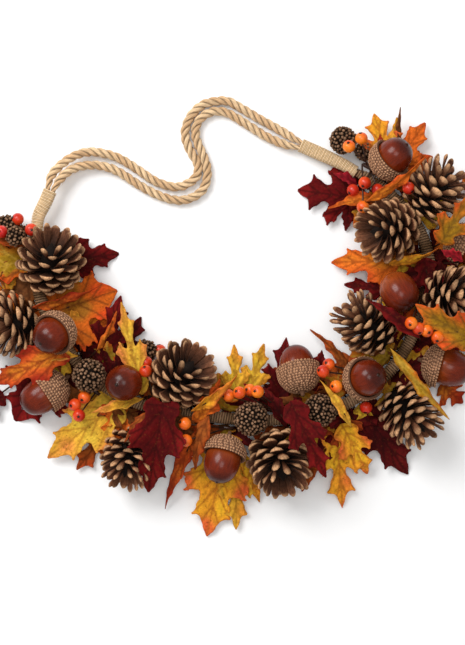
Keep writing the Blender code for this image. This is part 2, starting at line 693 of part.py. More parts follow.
def join_stems(spine, radius, routes, thin):
    """Stems united with the spine wire they all end on."""
    body = tube(spine, [radius] * len(spine), 7, "stems")
    for route in routes:
        stem = tube(route, [thin] * len(route), 4)
        boolean(body, stem, "UNION")
        drop([stem])
    return body


def leaf_stems(grow=0.0):
    """Stems of every leaf spray on a spine wire laid along the underside of the core."""
    out = {}
    for name, (lane, leaves) in LEAVES.items():
        stations = []
        for leaf in leaves:
            station = nearest_along(Vector(leaf[1]))
            while any(abs(station - other) < 3 for other in stations):
                station += 3.1
            stations.append(station)
        routes = [stem_route(leaf, at, lane, 7.2) for leaf, at in zip(leaves, stations)]
        low, high = min(stations) - 6 - grow, max(stations) + 6 + grow
        count = max(2, round((high - low) / 16))
        spine = [beside_core(low + (high - low) * k / count, lane, 7.2)[0]
                 for k in range(count + 1)]
        out[name] = join_stems(spine, 1.5 + grow, routes, STEM_RADIUS + grow)
    return out


def berry_sprays(grow=0.0):
    """Every berry spray: round berries united with their wire stems."""
    out = {}
    for name, (where, berries) in BERRIES.items():
        hub, tangent = beside_core(*where)
        routes = []
        for k, berry in enumerate(berries):
            end = Vector(berry)
            foot = hub + tangent * (2.5 * (k - (len(berries) - 1) / 2))
            routes.append([end, end.lerp(foot, 0.5) + Vector((0, 0, 2)), foot])
        spine = [hub - tangent * (7 + grow), hub + tangent * (7 + grow)]
        body = join_stems(spine, 1.9 + grow, routes, 0.8 + grow)
        for berry in berries:
            ball = lathe(pod_profile(BERRY_RADIUS, grow, 4), 7, pose(berry, 40, 60), "berry")
            boolean(body, ball, "UNION")
            drop([ball])
        out[name] = body
    return out


def cut_by(obj, cutters):
    """Cut a body back from each neighbour whose box it meets."""
    for cutter in cutters:
        if cutter is not obj and boxes_meet(obj, cutter):
            boolean(obj, cutter, "DIFFERENCE")


def core_cutter():
    """The core grown by the gap, to seat the pieces fixed over it."""
    line = core_line()
    return tube(line, [CORE_RADIUS + GAP] * len(line), 10, "core_cutter")


def main():
    """Build the wreath."""
    clear_scene()
    build_core()
    build_whipping("whipping_left", WHIP_LEFT)
    build_whipping("whipping_right", WHIP_RIGHT)
    build_rope("rope_outer", ROPE_OUTER_ROUTE)
    build_rope("rope_inner", ROPE_INNER_ROUTE)
    core = core_cutter()
    whips = [tube(smooth_route(r, 6), [8.5] * len(smooth_route(r, 6)), 12) for r in
             (WHIP_LEFT, WHIP_RIGHT)]
    wide_stems = leaf_stems(GAP)
    wide_berries = berry_sprays(GAP)
    wide_hard = [body for _, _, body in hard_pieces(GAP)]
    for name, kind, body in hard_pieces():
        cut_by(body, [core] + whips + list(wide_stems.values()) + list(wide_berries.values()))
        keep_main_body(body)
        gloss = {"cone": 0.8, "nut": 0.25, "cap": 0.8, "pod": 0.9}[kind]
        finish(body, name, kind, gloss)
    for name, body in berry_sprays().items():
        finish(body, name, "berries", 0.3)
    stems = leaf_stems()
    fixed = [core] + whips + wide_hard + list(wide_berries.values())
    done = []
    for name, (_, leaves) in LEAVES.items():
        body = stems[name]
        others = [wide_stems[key] for key in wide_stems if key != name]
        for leaf in leaves:
            blade = build_blade(leaf)
            cut_by(blade, fixed + others + done)
            if blade.data.vertices:
                boolean(body, blade, "UNION")
            drop([blade])
        keep_main_body(body)
        done += [build_blade(leaf, GAP) for leaf in leaves]
        finish(body, name, LEAF_COLOUR[name], 0.8, flat=1.0)
    drop(fixed + done + list(wide_stems.values()))


main()
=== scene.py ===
"""Harvest door wreath, dressed over its CAD frame.

A U-shaped garland of fabric leaves, pine cones, acorns, seed pods and berries on a
twine-wound core, hung from two jute ropes. It lies on its back with +Z up and the
hanger towards +Y. Sizes in the classes below are millimetres; pieces are made in metres.
"""
import logging
import math
import random
from dataclasses import dataclass
from enum import Enum
from typing import Optional, Sequence

import bpy
import numpy as np
from mathutils import Matrix, Vector, geometry


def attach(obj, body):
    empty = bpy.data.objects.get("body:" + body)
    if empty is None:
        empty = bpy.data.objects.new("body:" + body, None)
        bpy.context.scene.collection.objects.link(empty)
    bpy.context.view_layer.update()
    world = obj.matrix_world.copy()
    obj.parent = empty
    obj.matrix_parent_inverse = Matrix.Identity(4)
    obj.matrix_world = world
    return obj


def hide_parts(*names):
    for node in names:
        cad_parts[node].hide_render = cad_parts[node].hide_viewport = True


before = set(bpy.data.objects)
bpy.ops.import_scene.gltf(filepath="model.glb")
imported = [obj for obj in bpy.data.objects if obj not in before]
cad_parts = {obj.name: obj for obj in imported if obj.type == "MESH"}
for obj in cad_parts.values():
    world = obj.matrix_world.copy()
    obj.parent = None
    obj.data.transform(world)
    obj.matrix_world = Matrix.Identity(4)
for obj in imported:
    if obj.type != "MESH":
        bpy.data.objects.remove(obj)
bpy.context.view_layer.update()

MM = 0.001
FLOOR_GAP = 0.05            # least height of any point above the floor
TURN = 2 * np.pi
GOLDEN_ANGLE = math.radians(137.508)
UP = np.array([0.0, 0.0, 1.0])
Colour = tuple[float, float, float]
Point = tuple[float, float, float]

log = logging.getLogger("wreath")


# ---------------------------------------------------------------- colours and finishes
def linear(colour: Sequence[float]) -> np.ndarray:
    """Turn a screen colour, 0 to 1, into the linear one that shaders use."""
    c = np.asarray(colour, float)
    return np.where(c <= 0.04045, c / 12.92, ((c + 0.055) / 1.055) ** 2.4)


def blend(first: Sequence[float], second: Sequence[float], share: np.ndarray) -> np.ndarray:
    """Mix two colours.

    Args:
        first: Linear colour at share 0.
        second: Linear colour at share 1.
        share: Share for each point.

    Returns:
        One colour for each point.
    """
    t = np.clip(np.asarray(share, float), 0, 1)[..., None]
    return np.asarray(first) * (1 - t) + np.asarray(second) * t


def smooth_step(low: float, high: float, value: np.ndarray) -> np.ndarray:
    """Ease from 0 at low to 1 at high."""
    t = np.clip((np.asarray(value, float) - low) / (high - low), 0, 1)
    return t * t * (3 - 2 * t)


@dataclass(frozen=True)
class Finish:
    """One kind of surface, laid over the colour painted on the mesh.

    The grain is noise that runs along the mesh's own grain direction. It lightens and
    darkens the paint and, with a finer noise, gives the bump and the roughness. Specks are
    small stains over it.
    """

    name: str
    roughness: float
    rough_spread: float = 0.1
    grain_scale: float = 0.8
    grain_depth: float = 0.2
    fine_scale: float = 1500.0
    fine_share: float = 0.35
    bump: float = 0.4
    bump_height: float = 0.0004
    coat: float = 0.0
    coat_roughness: float = 0.1
    sheen: float = 0.0
    specular: float = 0.5
    metallic: float = 0.0
    speck_scale: float = 400.0
    speck_share: float = 0.0
    speck_tint: Colour = (0.25, 0.12, 0.06)
    own_colour: Optional[Colour] = None

    def build(self) -> bpy.types.Material:
        """Build the node material, or return it if it is there already.

        Returns:
            The material.
        """
        if self.name in bpy.data.materials:
            return bpy.data.materials[self.name]
        mat = bpy.data.materials.new(self.name)
        mat.use_nodes = True
        nodes, links = mat.node_tree.nodes, mat.node_tree.links
        shader = nodes["Principled BSDF"]
        place = nodes.new("ShaderNodeTexCoord").outputs["Object"]
        fine = self._noise(nodes, links, place, self.fine_scale, 3.0)
        if self.own_colour is None:
            paint = nodes.new("ShaderNodeAttribute")
            paint.attribute_name = "paint"
            colour = paint.outputs["Color"]
            run = nodes.new("ShaderNodeAttribute")
            run.attribute_name = "grain"
            grain = self._noise(nodes, links, run.outputs["Vector"], self.grain_scale, 5.0)
        else:
            plain = nodes.new("ShaderNodeRGB")
            plain.outputs[0].default_value = (*linear(self.own_colour), 1.0)
            colour = plain.outputs[0]
            grain = self._noise(nodes, links, place, self.grain_scale / MM, 5.0)
        shade = self._spread(nodes, links, grain, 0.3, 0.7, 1 - self.grain_depth, 1 + self.grain_depth)
        tinted = nodes.new("ShaderNodeVectorMath")
        tinted.operation = "SCALE"
        links.new(colour, tinted.inputs[0])
        links.new(shade, tinted.inputs["Scale"])
        colour = tinted.outputs[0]
        if self.speck_share:
            colour = self._specks(nodes, links, place, colour)
        links.new(colour, shader.inputs["Base Color"])
        rough = self._spread(nodes, links, fine, 0.3, 0.7, self.roughness - self.rough_spread,
                             self.roughness + self.rough_spread)
        links.new(rough, shader.inputs["Roughness"])
        both = nodes.new("ShaderNodeMath")
        both.operation = "MULTIPLY_ADD"
        both.inputs[1].default_value = self.fine_share
        links.new(fine, both.inputs[0])
        links.new(grain, both.inputs[2])
        bump = nodes.new("ShaderNodeBump")
        bump.inputs["Strength"].default_value = self.bump
        bump.inputs["Distance"].default_value = self.bump_height
        links.new(both.outputs[0], bump.inputs["Height"])
        links.new(bump.outputs[0], shader.inputs["Normal"])
        for socket, value in (("Coat Weight", self.coat), ("Coat Roughness", self.coat_roughness),
                              ("Sheen Weight", self.sheen), ("Metallic", self.metallic),
                              ("Specular IOR Level", self.specular)):
            shader.inputs[socket].default_value = value
        return mat

    @staticmethod
    def _noise(nodes: bpy.types.Nodes, links: bpy.types.NodeLinks, where: bpy.types.NodeSocket,
               scale: float, detail: float) -> bpy.types.NodeSocket:
        """Add a noise texture and return its factor."""
        noise = nodes.new("ShaderNodeTexNoise")
        noise.inputs["Scale"].default_value = scale
        noise.inputs["Detail"].default_value = detail
        links.new(where, noise.inputs["Vector"])
        return noise.outputs["Fac"]

    @staticmethod
    def _spread(nodes: bpy.types.Nodes, links: bpy.types.NodeLinks, value: bpy.types.NodeSocket,
                low: float, high: float, to_low: float, to_high: float) -> bpy.types.NodeSocket:
        """Map a value from low..high to to_low..to_high."""
        node = nodes.new("ShaderNodeMapRange")
        for socket, number in zip(("From Min", "From Max", "To Min", "To Max"),
                                  (low, high, to_low, to_high)):
            node.inputs[socket].default_value = number
        links.new(value, node.inputs["Value"])
        return node.outputs["Result"]

    def _specks(self, nodes: bpy.types.Nodes, links: bpy.types.NodeLinks,
                place: bpy.types.NodeSocket, colour: bpy.types.NodeSocket) -> bpy.types.NodeSocket:
        """Stain the colour with scattered specks.

        Args:
            nodes: The material's nodes.
            links: The material's links.
            place: Where each point is.
            colour: The colour so far.

        Returns:
            The stained colour.
        """
        dots = self._noise(nodes, links, place, self.speck_scale, 2.0)
        amount = self._spread(nodes, links, dots, 0.60, 0.70, 0.0, self.speck_share)
        mix = nodes.new("ShaderNodeMix")
        mix.data_type = "RGBA"
        links.new(amount, mix.inputs["Factor"])
        links.new(colour, mix.inputs[6])
        mix.inputs[7].default_value = (*linear(self.speck_tint), 1.0)
        return mix.outputs[2]


JUTE = Finish("jute_rope", 0.9, grain_scale=1.1, grain_depth=0.34, bump=0.7, sheen=0.15,
              specular=0.2)
TWINE = Finish("whipping_twine", 0.92, grain_scale=1.6, grain_depth=0.28, bump=0.6, specular=0.15)
CORE_TWINE = Finish("core_twine", 0.95, grain_scale=1.2, grain_depth=0.4, bump=0.7, specular=0.05)
STEEL = Finish("core_steel", 0.38, grain_depth=0.12, metallic=1.0, own_colour=(0.55, 0.54, 0.52))
WOOD_SCALE = Finish("cone_scale", 0.78, grain_scale=0.9, grain_depth=0.42, bump=0.6, specular=0.1)
CHESTNUT = Finish("acorn_shell", 0.25, rough_spread=0.05, grain_scale=0.55, grain_depth=0.24,
                  bump=0.06, coat=0.03, coat_roughness=0.1, specular=0.22)
CUP = Finish("acorn_cup", 0.85, grain_scale=0.8, grain_depth=0.25, bump=0.5, specular=0.08)
BURR = Finish("burr_skin", 0.9, grain_scale=0.9, grain_depth=0.3, bump=0.4, specular=0.05)
LACQUER = Finish("berry_skin", 0.32, rough_spread=0.06, grain_scale=0.35, grain_depth=0.14,
                 bump=0.05, coat=0.08, coat_roughness=0.1, specular=0.34)
LEAF_CLOTH = Finish("leaf_cloth", 0.8, grain_scale=0.45, grain_depth=0.26, bump=0.5,
                    specular=0.06, speck_scale=420.0, speck_share=0.5, speck_tint=(0.36, 0.17, 0.07))


# ---------------------------------------------------------------- mesh helpers
class Shape:
    """A mesh in the making, in millimetres, with its paint and grain at every point."""

    def __init__(self) -> None:
        """Start empty."""
        self.places: list[np.ndarray] = []
        self.paint: list[np.ndarray] = []
        self.grain: list[np.ndarray] = []
        self.faces: list[tuple[int, ...]] = []
        self.flat_from: list[tuple[int, int]] = []
        self.count = 0

    def add(self, places: np.ndarray, faces: Sequence[Sequence[int]], paint: np.ndarray,
            grain: Optional[np.ndarray] = None, crisp: bool = False) -> None:
        """Add a closed lump.

        Args:
            places: Points, n by 3.
            faces: Faces by point number within this lump.
            paint: One colour, or one for each point.
            grain: Grain direction coordinates, or None to use the points themselves.
            crisp: True to leave the faces unsmoothed.
        """
        places = np.array(places, float).reshape(-1, 3)
        places[:, 2] = np.maximum(places[:, 2], FLOOR_GAP)
        if crisp:
            self.flat_from.append((len(self.faces), len(self.faces) + len(faces)))
        self.faces.extend(tuple(int(i) + self.count for i in face) for face in faces)
        self.places.append(places)
        self.paint.append(np.broadcast_to(np.asarray(paint, float), (len(places), 3)))
        self.grain.append(places if grain is None else np.asarray(grain, float).reshape(-1, 3))
        self.count += len(places)

    def piece(self, name: str, finish: Finish, slot: str, stands_for: Sequence[str] = ()
              ) -> bpy.types.Object:
        """Make the object, dress it and fix it to the wreath.

        Args:
            name: Name of the piece.
            finish: Its finish.
            slot: The record's material slot; not used.
            stands_for: CAD nodes that it replaces.

        Returns:
            The new object.
        """
        mesh = bpy.data.meshes.new(name)
        mesh.from_pydata((np.concatenate(self.places) * MM).tolist(), [], self.faces)
        smooth = np.ones(len(self.faces), bool)
        for low, high in self.flat_from:
            smooth[low:high] = False
        mesh.polygons.foreach_set("use_smooth", smooth)
        paint = mesh.color_attributes.new("paint", "FLOAT_COLOR", "POINT")
        rgb = np.concatenate(self.paint)
        paint.data.foreach_set("color", np.hstack([rgb, np.ones((len(rgb), 1))]).ravel())
        grain = mesh.attributes.new("grain", "FLOAT_VECTOR", "POINT")
        grain.data.foreach_set("vector", np.concatenate(self.grain).ravel())
        mesh.materials.append(finish.build())
        mesh.update()
        obj = bpy.data.objects.new(name, mesh)
        bpy.context.collection.objects.link(obj)
        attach(obj, "root")
        if stands_for:
            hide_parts(*stands_for)
        return obj


POINTS_PER_LEG = 12         # points worked out between two points of a route
GRAIN_ACROSS = 1.2          # stretch of the grain across a bar
GRAIN_ALONG = 0.22          # and along it


def unit(vectors: np.ndarray) -> np.ndarray:
    """Scale vectors to length one."""
    return vectors / np.maximum(np.linalg.norm(vectors, axis=-1, keepdims=True), 1e-9)


def smooth_route(points: Sequence[Point], step: float) -> np.ndarray:
    """Draw a smooth curve through route points.

    Args:
        points: The route.
        step: Spacing of the points wanted.

    Returns:
        Evenly spaced points on the curve.
    """
    p = np.asarray(points, float)
    p = np.vstack([2 * p[0] - p[1], p, 2 * p[-1] - p[-2]])
    t = np.linspace(0, 1, POINTS_PER_LEG, endpoint=False)[:, None]
    dense = [0.5 * (2 * b + (c - a) * t + (2 * a - 5 * b + 4 * c - d) * t * t
                    + (3 * b - a - 3 * c + d) * t ** 3)
             for a, b, c, d in zip(p, p[1:], p[2:], p[3:])]
    return spaced(np.vstack(dense + [p[-2:-1]]), step)


def run_along(line: np.ndarray) -> np.ndarray:
    """Distance along a polyline of each of its points."""
    return np.concatenate([[0], np.cumsum(np.linalg.norm(np.diff(line, axis=0), axis=1))])


def even_run(line: np.ndarray) -> np.ndarray:
    """Distance along an evenly spaced line of each of its points."""
    return np.linspace(0, length_of(line), len(line))


def point_along(line: np.ndarray, run: np.ndarray, at: float) -> np.ndarray:
    """Find the point at a distance along a line.

    Args:
        line: The line's points, in the plane or in space.
        run: The distance of each of them.
        at: The distance looked for.

    Returns:
        The point.
    """
    return np.array([np.interp(at, run, values) for values in line.T])


def spaced(line: np.ndarray, step: float) -> np.ndarray:
    """Space points evenly along a polyline, keeping its ends."""
    reach = run_along(line)
    want = np.linspace(0, reach[-1], max(2, round(reach[-1] / step)) + 1)
    return np.column_stack([np.interp(want, reach, line[:, k]) for k in range(3)])


def length_of(line: np.ndarray) -> float:
    """Length of a polyline."""
    return float(np.linalg.norm(np.diff(line, axis=0), axis=1).sum())


def frames_along(line: np.ndarray) -> tuple[np.ndarray, np.ndarray, np.ndarray]:
    """Find the tangent, level side and up vectors along a line."""
    tangent = unit(np.gradient(line, axis=0))
    side = np.cross(tangent, UP)
    steep = np.linalg.norm(side, axis=1) < 0.05
    side[steep] = (1.0, 0.0, 0.0)
    side = unit(side - tangent * (side * tangent).sum(1, keepdims=True))
    return tangent, side, np.cross(side, tangent)


def grid_faces(rings: int, around: int, cap: bool = True) -> list[tuple[int, ...]]:
    """List the faces of a skin over equal closed rings, with its two ends shut."""
    out = [(r * around + k, r * around + (k + 1) % around,
            (r + 1) * around + (k + 1) % around, (r + 1) * around + k)
           for r in range(rings - 1) for k in range(around)]
    if cap:
        out += [tuple(reversed(range(around))), tuple(range((rings - 1) * around, rings * around))]
    return out


def pointed_faces(rings: int, around: int) -> list[tuple[int, ...]]:
    """List the faces of a skin over closed rings, with a flat foot and one last point on top."""
    last, top = (rings - 1) * around, rings * around
    return (grid_faces(rings, around, cap=False) + [tuple(reversed(range(around)))]
            + [(last + k, last + (k + 1) % around, top) for k in range(around)])


def wound(line: np.ndarray, at: np.ndarray, across: np.ndarray, over: np.ndarray) -> np.ndarray:
    """Lead a twine round a line.

    Args:
        line: The line that it is wound round.
        at: Place of each of the twine's points, as a number of points along the line.
        across: Reach of each point to the line's side.
        over: Reach of each point to the line's upper side.

    Returns:
        The twine's points.
    """
    _, side, up = frames_along(line)
    i = at.astype(int)
    centre = line[i] + (line[i + 1] - line[i]) * (at - i)[:, None]
    return centre + side[i] * across[:, None] + up[i] * over[:, None]


def add_tube(shape: Shape, line: np.ndarray, radii: np.ndarray, sides: int, paint: np.ndarray,
             seed: float = 0.0) -> None:
    """Add a round bar along a line.

    Args:
        shape: Shape to add to.
        line: Its centre line.
        radii: Radius at each point, or n by sides for a fluted bar.
        sides: Points around it.
        paint: Its colour, or one for each ring, or one for each point of each ring.
        seed: Shift of its grain.
    """
    _, side, up = frames_along(line)
    turn = TURN * np.arange(sides) / sides
    radii = np.asarray(radii, float)
    radii = np.broadcast_to(radii[:, None] if radii.ndim == 1 else radii, (len(line), sides))
    ring = (np.cos(turn)[None, :, None] * side[:, None, :]
            + np.sin(turn)[None, :, None] * up[:, None, :]) * radii[..., None]
    places = line[:, None, :] + ring
    along = run_along(line)[:, None] * GRAIN_ALONG + seed
    grain = np.stack([radii * np.cos(turn) * GRAIN_ACROSS, radii * np.sin(turn) * GRAIN_ACROSS,
                      np.broadcast_to(along, radii.shape)], axis=-1)
    paint = np.asarray(paint, float)
    if paint.ndim == 2:
        paint = np.repeat(paint, sides, axis=0)
    elif paint.ndim == 3:
        paint = paint.reshape(-1, 3)
    shape.add(places, grid_faces(len(line), sides), paint, grain)


def turned(profile: np.ndarray, around: int) -> tuple[np.ndarray, list[tuple[int, ...]]]:
    """Turn a profile about +Z.

    Args:
        profile: Radius and height pairs from the bottom up, with radius 0 at both ends.
        around: Points in each ring.

    Returns:
        Points and faces.
    """
    turn = TURN * np.arange(around) / around
    rows = profile[1:-1]
    ring = np.stack([rows[:, :1] * np.cos(turn), rows[:, :1] * np.sin(turn),
                     np.broadcast_to(rows[:, 1:2], (len(rows), around))], axis=-1).reshape(-1, 3)
    places = np.vstack([ring, [[0, 0, profile[0, 1]], [0, 0, profile[-1, 1]]]])
    low, high, last = len(ring), len(ring) + 1, (len(rows) - 1) * around
    faces = grid_faces(len(rows), around, cap=False)
    faces += [(low, (k + 1) % around, k) for k in range(around)]
    faces += [(high, last + k, last + (k + 1) % around) for k in range(around)]
    return places, faces


@dataclass(frozen=True)
class Aim:
    """Which way a turned piece points: heading in the plane and tilt above it, in degrees."""

    heading: float
    tilt: float

    def axis(self) -> np.ndarray:
        """Unit vector that it points along."""
        h, t = math.radians(self.heading), math.radians(self.tilt)
        return np.array([math.cos(t) * math.cos(h), math.cos(t) * math.sin(h), math.sin(t)])

    def turn(self) -> np.ndarray:
        """Rotation that takes +Z to the axis."""
        yaw = Matrix.Rotation(math.radians(self.heading), 3, "Z")
        return np.array(yaw @ Matrix.Rotation(math.radians(90 - self.tilt), 3, "Y"))

    def centre(self, node: str, reach: float) -> np.ndarray:
        """Find a CAD node's centre from its farthest point along the axis.

        Args:
            node: The CAD node.
            reach: Distance from its centre to that point.

        Returns:
            The centre, in millimetres.
        """
        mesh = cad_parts[node].data
        co = np.empty(len(mesh.vertices) * 3)
        mesh.vertices.foreach_get("co", co)
        co = co.reshape(-1, 3) / MM
        return co[(co @ self.axis()).argmax()] - self.axis() * reach


# ---------------------------------------------------------------- camera and studio
@dataclass(frozen=True)
class Studio:
    """Plain pale floor, soft light from above and the upper left, and the camera."""

    eye: Point = (-0.0024, -0.0014, 1.6)
    lens: float = 92.8
    floor_side: float = 6.0
    floor_tint: float = 0.93

    def camera(self) -> None:
        """Place the camera straight above the wreath."""
        data = bpy.data.cameras.new("camera")
        data.lens = self.lens
        data.sensor_width = 36.0
        data.clip_start, data.clip_end = 0.05, 20.0
        camera = bpy.data.objects.new("camera", data)
        camera.location = self.eye
        bpy.context.collection.objects.link(camera)
        bpy.context.scene.camera = camera

    def light(self, name: str, place: Point, aim: Point, size: float, power: float) -> None:
        """Add a square soft light.

        Args:
            name: Name of the light.
            place: Where it stands.
            aim: The point that it faces.
            size: Side of the square.
            power: Watts.
        """
        data = bpy.data.lights.new(name, "AREA")
        data.shape = "SQUARE"
        data.size = size
        data.energy = power
        lamp = bpy.data.objects.new(name, data)
        lamp.location = place
        lamp.rotation_euler = (Vector(aim) - Vector(place)).to_track_quat("-Z", "Y").to_euler()
        bpy.context.collection.objects.link(lamp)

    def build(self) -> None:
        """Lay the floor and set the lights."""
        half = self.floor_side / 2
        mesh = bpy.data.meshes.new("floor")
        mesh.from_pydata([(-half, -half, -0.0004), (half, -half, -0.0004), (half, half, -0.0004),
                          (-half, half, -0.0004)], [], [(0, 1, 2, 3)])
        mat = bpy.data.materials.new("floor")
        mat.use_nodes = True
        shader = mat.node_tree.nodes["Principled BSDF"]
        shader.inputs["Base Color"].default_value = (self.floor_tint,) * 3 + (1.0,)
        shader.inputs["Roughness"].default_value = 0.9
        shader.inputs["Specular IOR Level"].default_value = 0.1
        mesh.materials.append(mat)
        floor = bpy.data.objects.new("floor", mesh)
        bpy.context.collection.objects.link(floor)
        world = bpy.data.worlds.new("soft_white")
        world.use_nodes = True
        world.node_tree.nodes["Background"].inputs["Color"].default_value = (1.0, 0.99, 0.98, 1.0)
        world.node_tree.nodes["Background"].inputs["Strength"].default_value = 0.53
        bpy.context.scene.world = world
        bpy.context.scene.view_settings.view_transform = "Standard"
        self.light("key_softbox", (-0.9, 1.0, 1.5), (0.0, 0.0, 0.0), 1.0, 31.5)
        self.light("top_softbox", (0.05, 0.1, 1.9), (0.0, 0.0, 0.0), 0.7, 8.0)


# ---------------------------------------------------------------- ropes, whippings, core
ROPE_OUTER = (
    (-181.1, 117.4, 17), (-178.4, 124.9, 17), (-175, 138.5, 16), (-165, 150, 13),
    (-155, 157, 11), (-145, 161, 9), (-134, 162, 7), (-123, 160, 6), (-113, 157, 5),
    (-102, 151, 4.5), (-90, 143, 4.3),
    (-78, 135, 4.3), (-65, 130, 4.3), (-53, 129, 4.3), (-42, 134, 4.3), (-36, 141, 4.3),
    (-36, 151, 4.3), (-41, 160, 4.3), (-46, 170, 4.3), (-48, 181, 4.3), (-45, 192, 4.3),
    (-39, 201, 4.3), (-30, 208, 4.3), (-18, 211, 4.3), (-7, 211, 4.3), (3, 206, 4.3),
    (13, 200, 4.3), (25, 193, 4.5), (36, 187, 5), (48, 180, 6.5), (56, 174.8, 8.5),
    (64, 170.4, 10), (71.3, 167.1, 10.4),
)
ROPE_INNER = (
    (-176.3, 115.6, 17), (-173.6, 123.1, 17), (-167.8, 133.5, 16), (-160, 142, 13),
    (-151, 147, 11), (-140, 149, 9), (-130, 149, 7), (-118, 146, 6), (-108, 141, 5),
    (-99, 135, 4.5), (-86, 127, 4.3),
    (-74, 121, 4.3), (-62, 117, 4.3), (-51, 116, 4.3), (-40, 119, 4.3), (-31, 126, 4.3),
    (-27, 136, 4.3), (-27, 148, 4.3), (-31, 160, 4.3), (-36, 171, 4.3), (-38, 181, 4.3),
    (-36, 190, 4.3), (-30, 197, 4.3), (-21, 201, 4.3), (-12, 201, 4.3), (-4, 198, 4.3),
    (6, 192, 4.3), (17, 185, 4.5), (28, 178, 5), (40, 172.2, 6.5), (51, 168, 8.5),
    (61.8, 165.6, 10), (69.3, 162.4, 10.4),
)
CORE_ROUTE = (
    (-188, 93, 16), (-192, 62, 16), (-181, 10, 16), (-143, -47, 16), (-90, -79, 16),
    (-14, -92, 16), (41, -94, 16), (93, -85, 16), (141, -54, 16), (168, -16, 16),
    (186, 33, 16), (177, 84, 16), (145, 123, 15), (107, 147, 14),
)
WHIP_LEFT = ((-176, 124, 17), (-181, 112, 16.8), (-187.1, 100.1, 16), (-188.8, 87, 16))
WHIP_RIGHT = ((63, 168, 10), (84, 158.5, 11.5), (104.2, 148.7, 13.8), (115.6, 141.9, 14.3))


@dataclass(frozen=True)
class Rope:
    """One three-strand jute rope of the hanger."""

    node: str
    route: tuple[Point, ...]
    radius: float = 4.35
    end_radius: float = 2.5
    pitch: float = 25.0
    diameter: float = 8.0
    step: float = 1.4
    lift: float = 0.3
    strand_reach: float = 0.55
    strand_size: float = 0.49
    gripped: tuple[float, float] = (8, 25)
    hairs: int = 110
    bald: int = 12

    def centre_line(self) -> np.ndarray:
        """Points down the middle of the rope."""
        return smooth_route(self.route, self.step)

    def girth(self, line: np.ndarray) -> np.ndarray:
        """Share of the full radius along the rope, less where a whipping grips it."""
        run = even_run(line)
        near = np.minimum(run, run[-1] - run)
        low = self.end_radius / self.radius
        return low + (1 - low) * smooth_step(*self.gripped, near)

    def strand(self, line: np.ndarray, which: int) -> np.ndarray:
        """Centre line of one strand, wound right-handed."""
        _, side, up = frames_along(line)
        run = even_run(line)
        turn = TURN * (run / self.pitch + which / 3)
        reach = (self.radius * self.strand_reach * self.girth(line))[:, None]
        around = np.cos(turn)[:, None] * up + np.sin(turn)[:, None] * side
        return line + UP * self.lift + reach * around

    def build(self) -> None:
        line, sides = self.centre_line(), 16
        shape = Shape()
        tan, pale = linear((0.78, 0.62, 0.45)), linear((0.89, 0.77, 0.61))
        angle = TURN * np.arange(sides) / sides
        for which in range(3):
            centre = self.strand(line, which)
            run = np.arange(len(centre)) * self.step
            flute = np.abs(np.sin(2 * (angle[None, :] + run[:, None] * 0.32)))
            girth = self.girth(line)[:, None] * (0.88 + 0.12 * flute)
            colour = blend(tan, pale, 0.5 + 0.35 * np.sin(run * 0.11 + which * 2.1))
            _, side, up = frames_along(centre)
            out = unit(centre - line - UP * self.lift)
            facing = (np.cos(angle)[None, :] * (side * out).sum(1)[:, None]
                      + np.sin(angle)[None, :] * (up * out).sum(1)[:, None])
            # Painted shade: each strand is darkened where it faces into the rope and in the hollows of
            # its flutes, for the shade in the grooves between strands.
            shade = 0.42 + 0.58 * smooth_step(-0.25, 0.65, facing) * (0.84 + 0.16 * flute)
            add_tube(shape, centre, self.radius * self.strand_size * girth, sides,
                     colour[:, None, :] * shade[..., None], which * 37.0)
        rope = shape.piece(self.node + "_strands", JUTE, "rope", [self.node])
        hairs = self.fibres(line)

    def fibres(self, line: np.ndarray) -> bpy.types.Object:
        """Add the short loose fibres that stand off the rope.

        Args:
            line: Centre line of the rope.

        Returns:
            The piece that holds them all.
        """
        rng = random.Random(self.node)
        tangent, side, up = frames_along(line)
        shape = Shape()
        for _ in range(self.hairs):
            i = rng.randrange(self.bald, len(line) - self.bald)
            turn = rng.uniform(-0.3, math.pi + 0.3)
            out = side[i] * math.cos(turn) + up[i] * math.sin(turn)
            root = line[i] + out * self.radius * 0.85
            lean = tangent[i] * rng.choice((-1, 1)) * rng.uniform(1.5, 4.5)
            tip = root + out * rng.uniform(0.6, 1.9) + lean
            bend = (root + tip) / 2 + out * rng.uniform(0.1, 0.6)
            hair = np.array([root, bend, tip])
            hair[:, 2] = np.maximum(hair[:, 2], 0.2)
            add_tube(shape, hair, np.array([0.13, 0.11, 0.05]), 3, linear((0.86, 0.74, 0.56)))
        return shape.piece(self.node + "_fibres", JUTE, "rope")


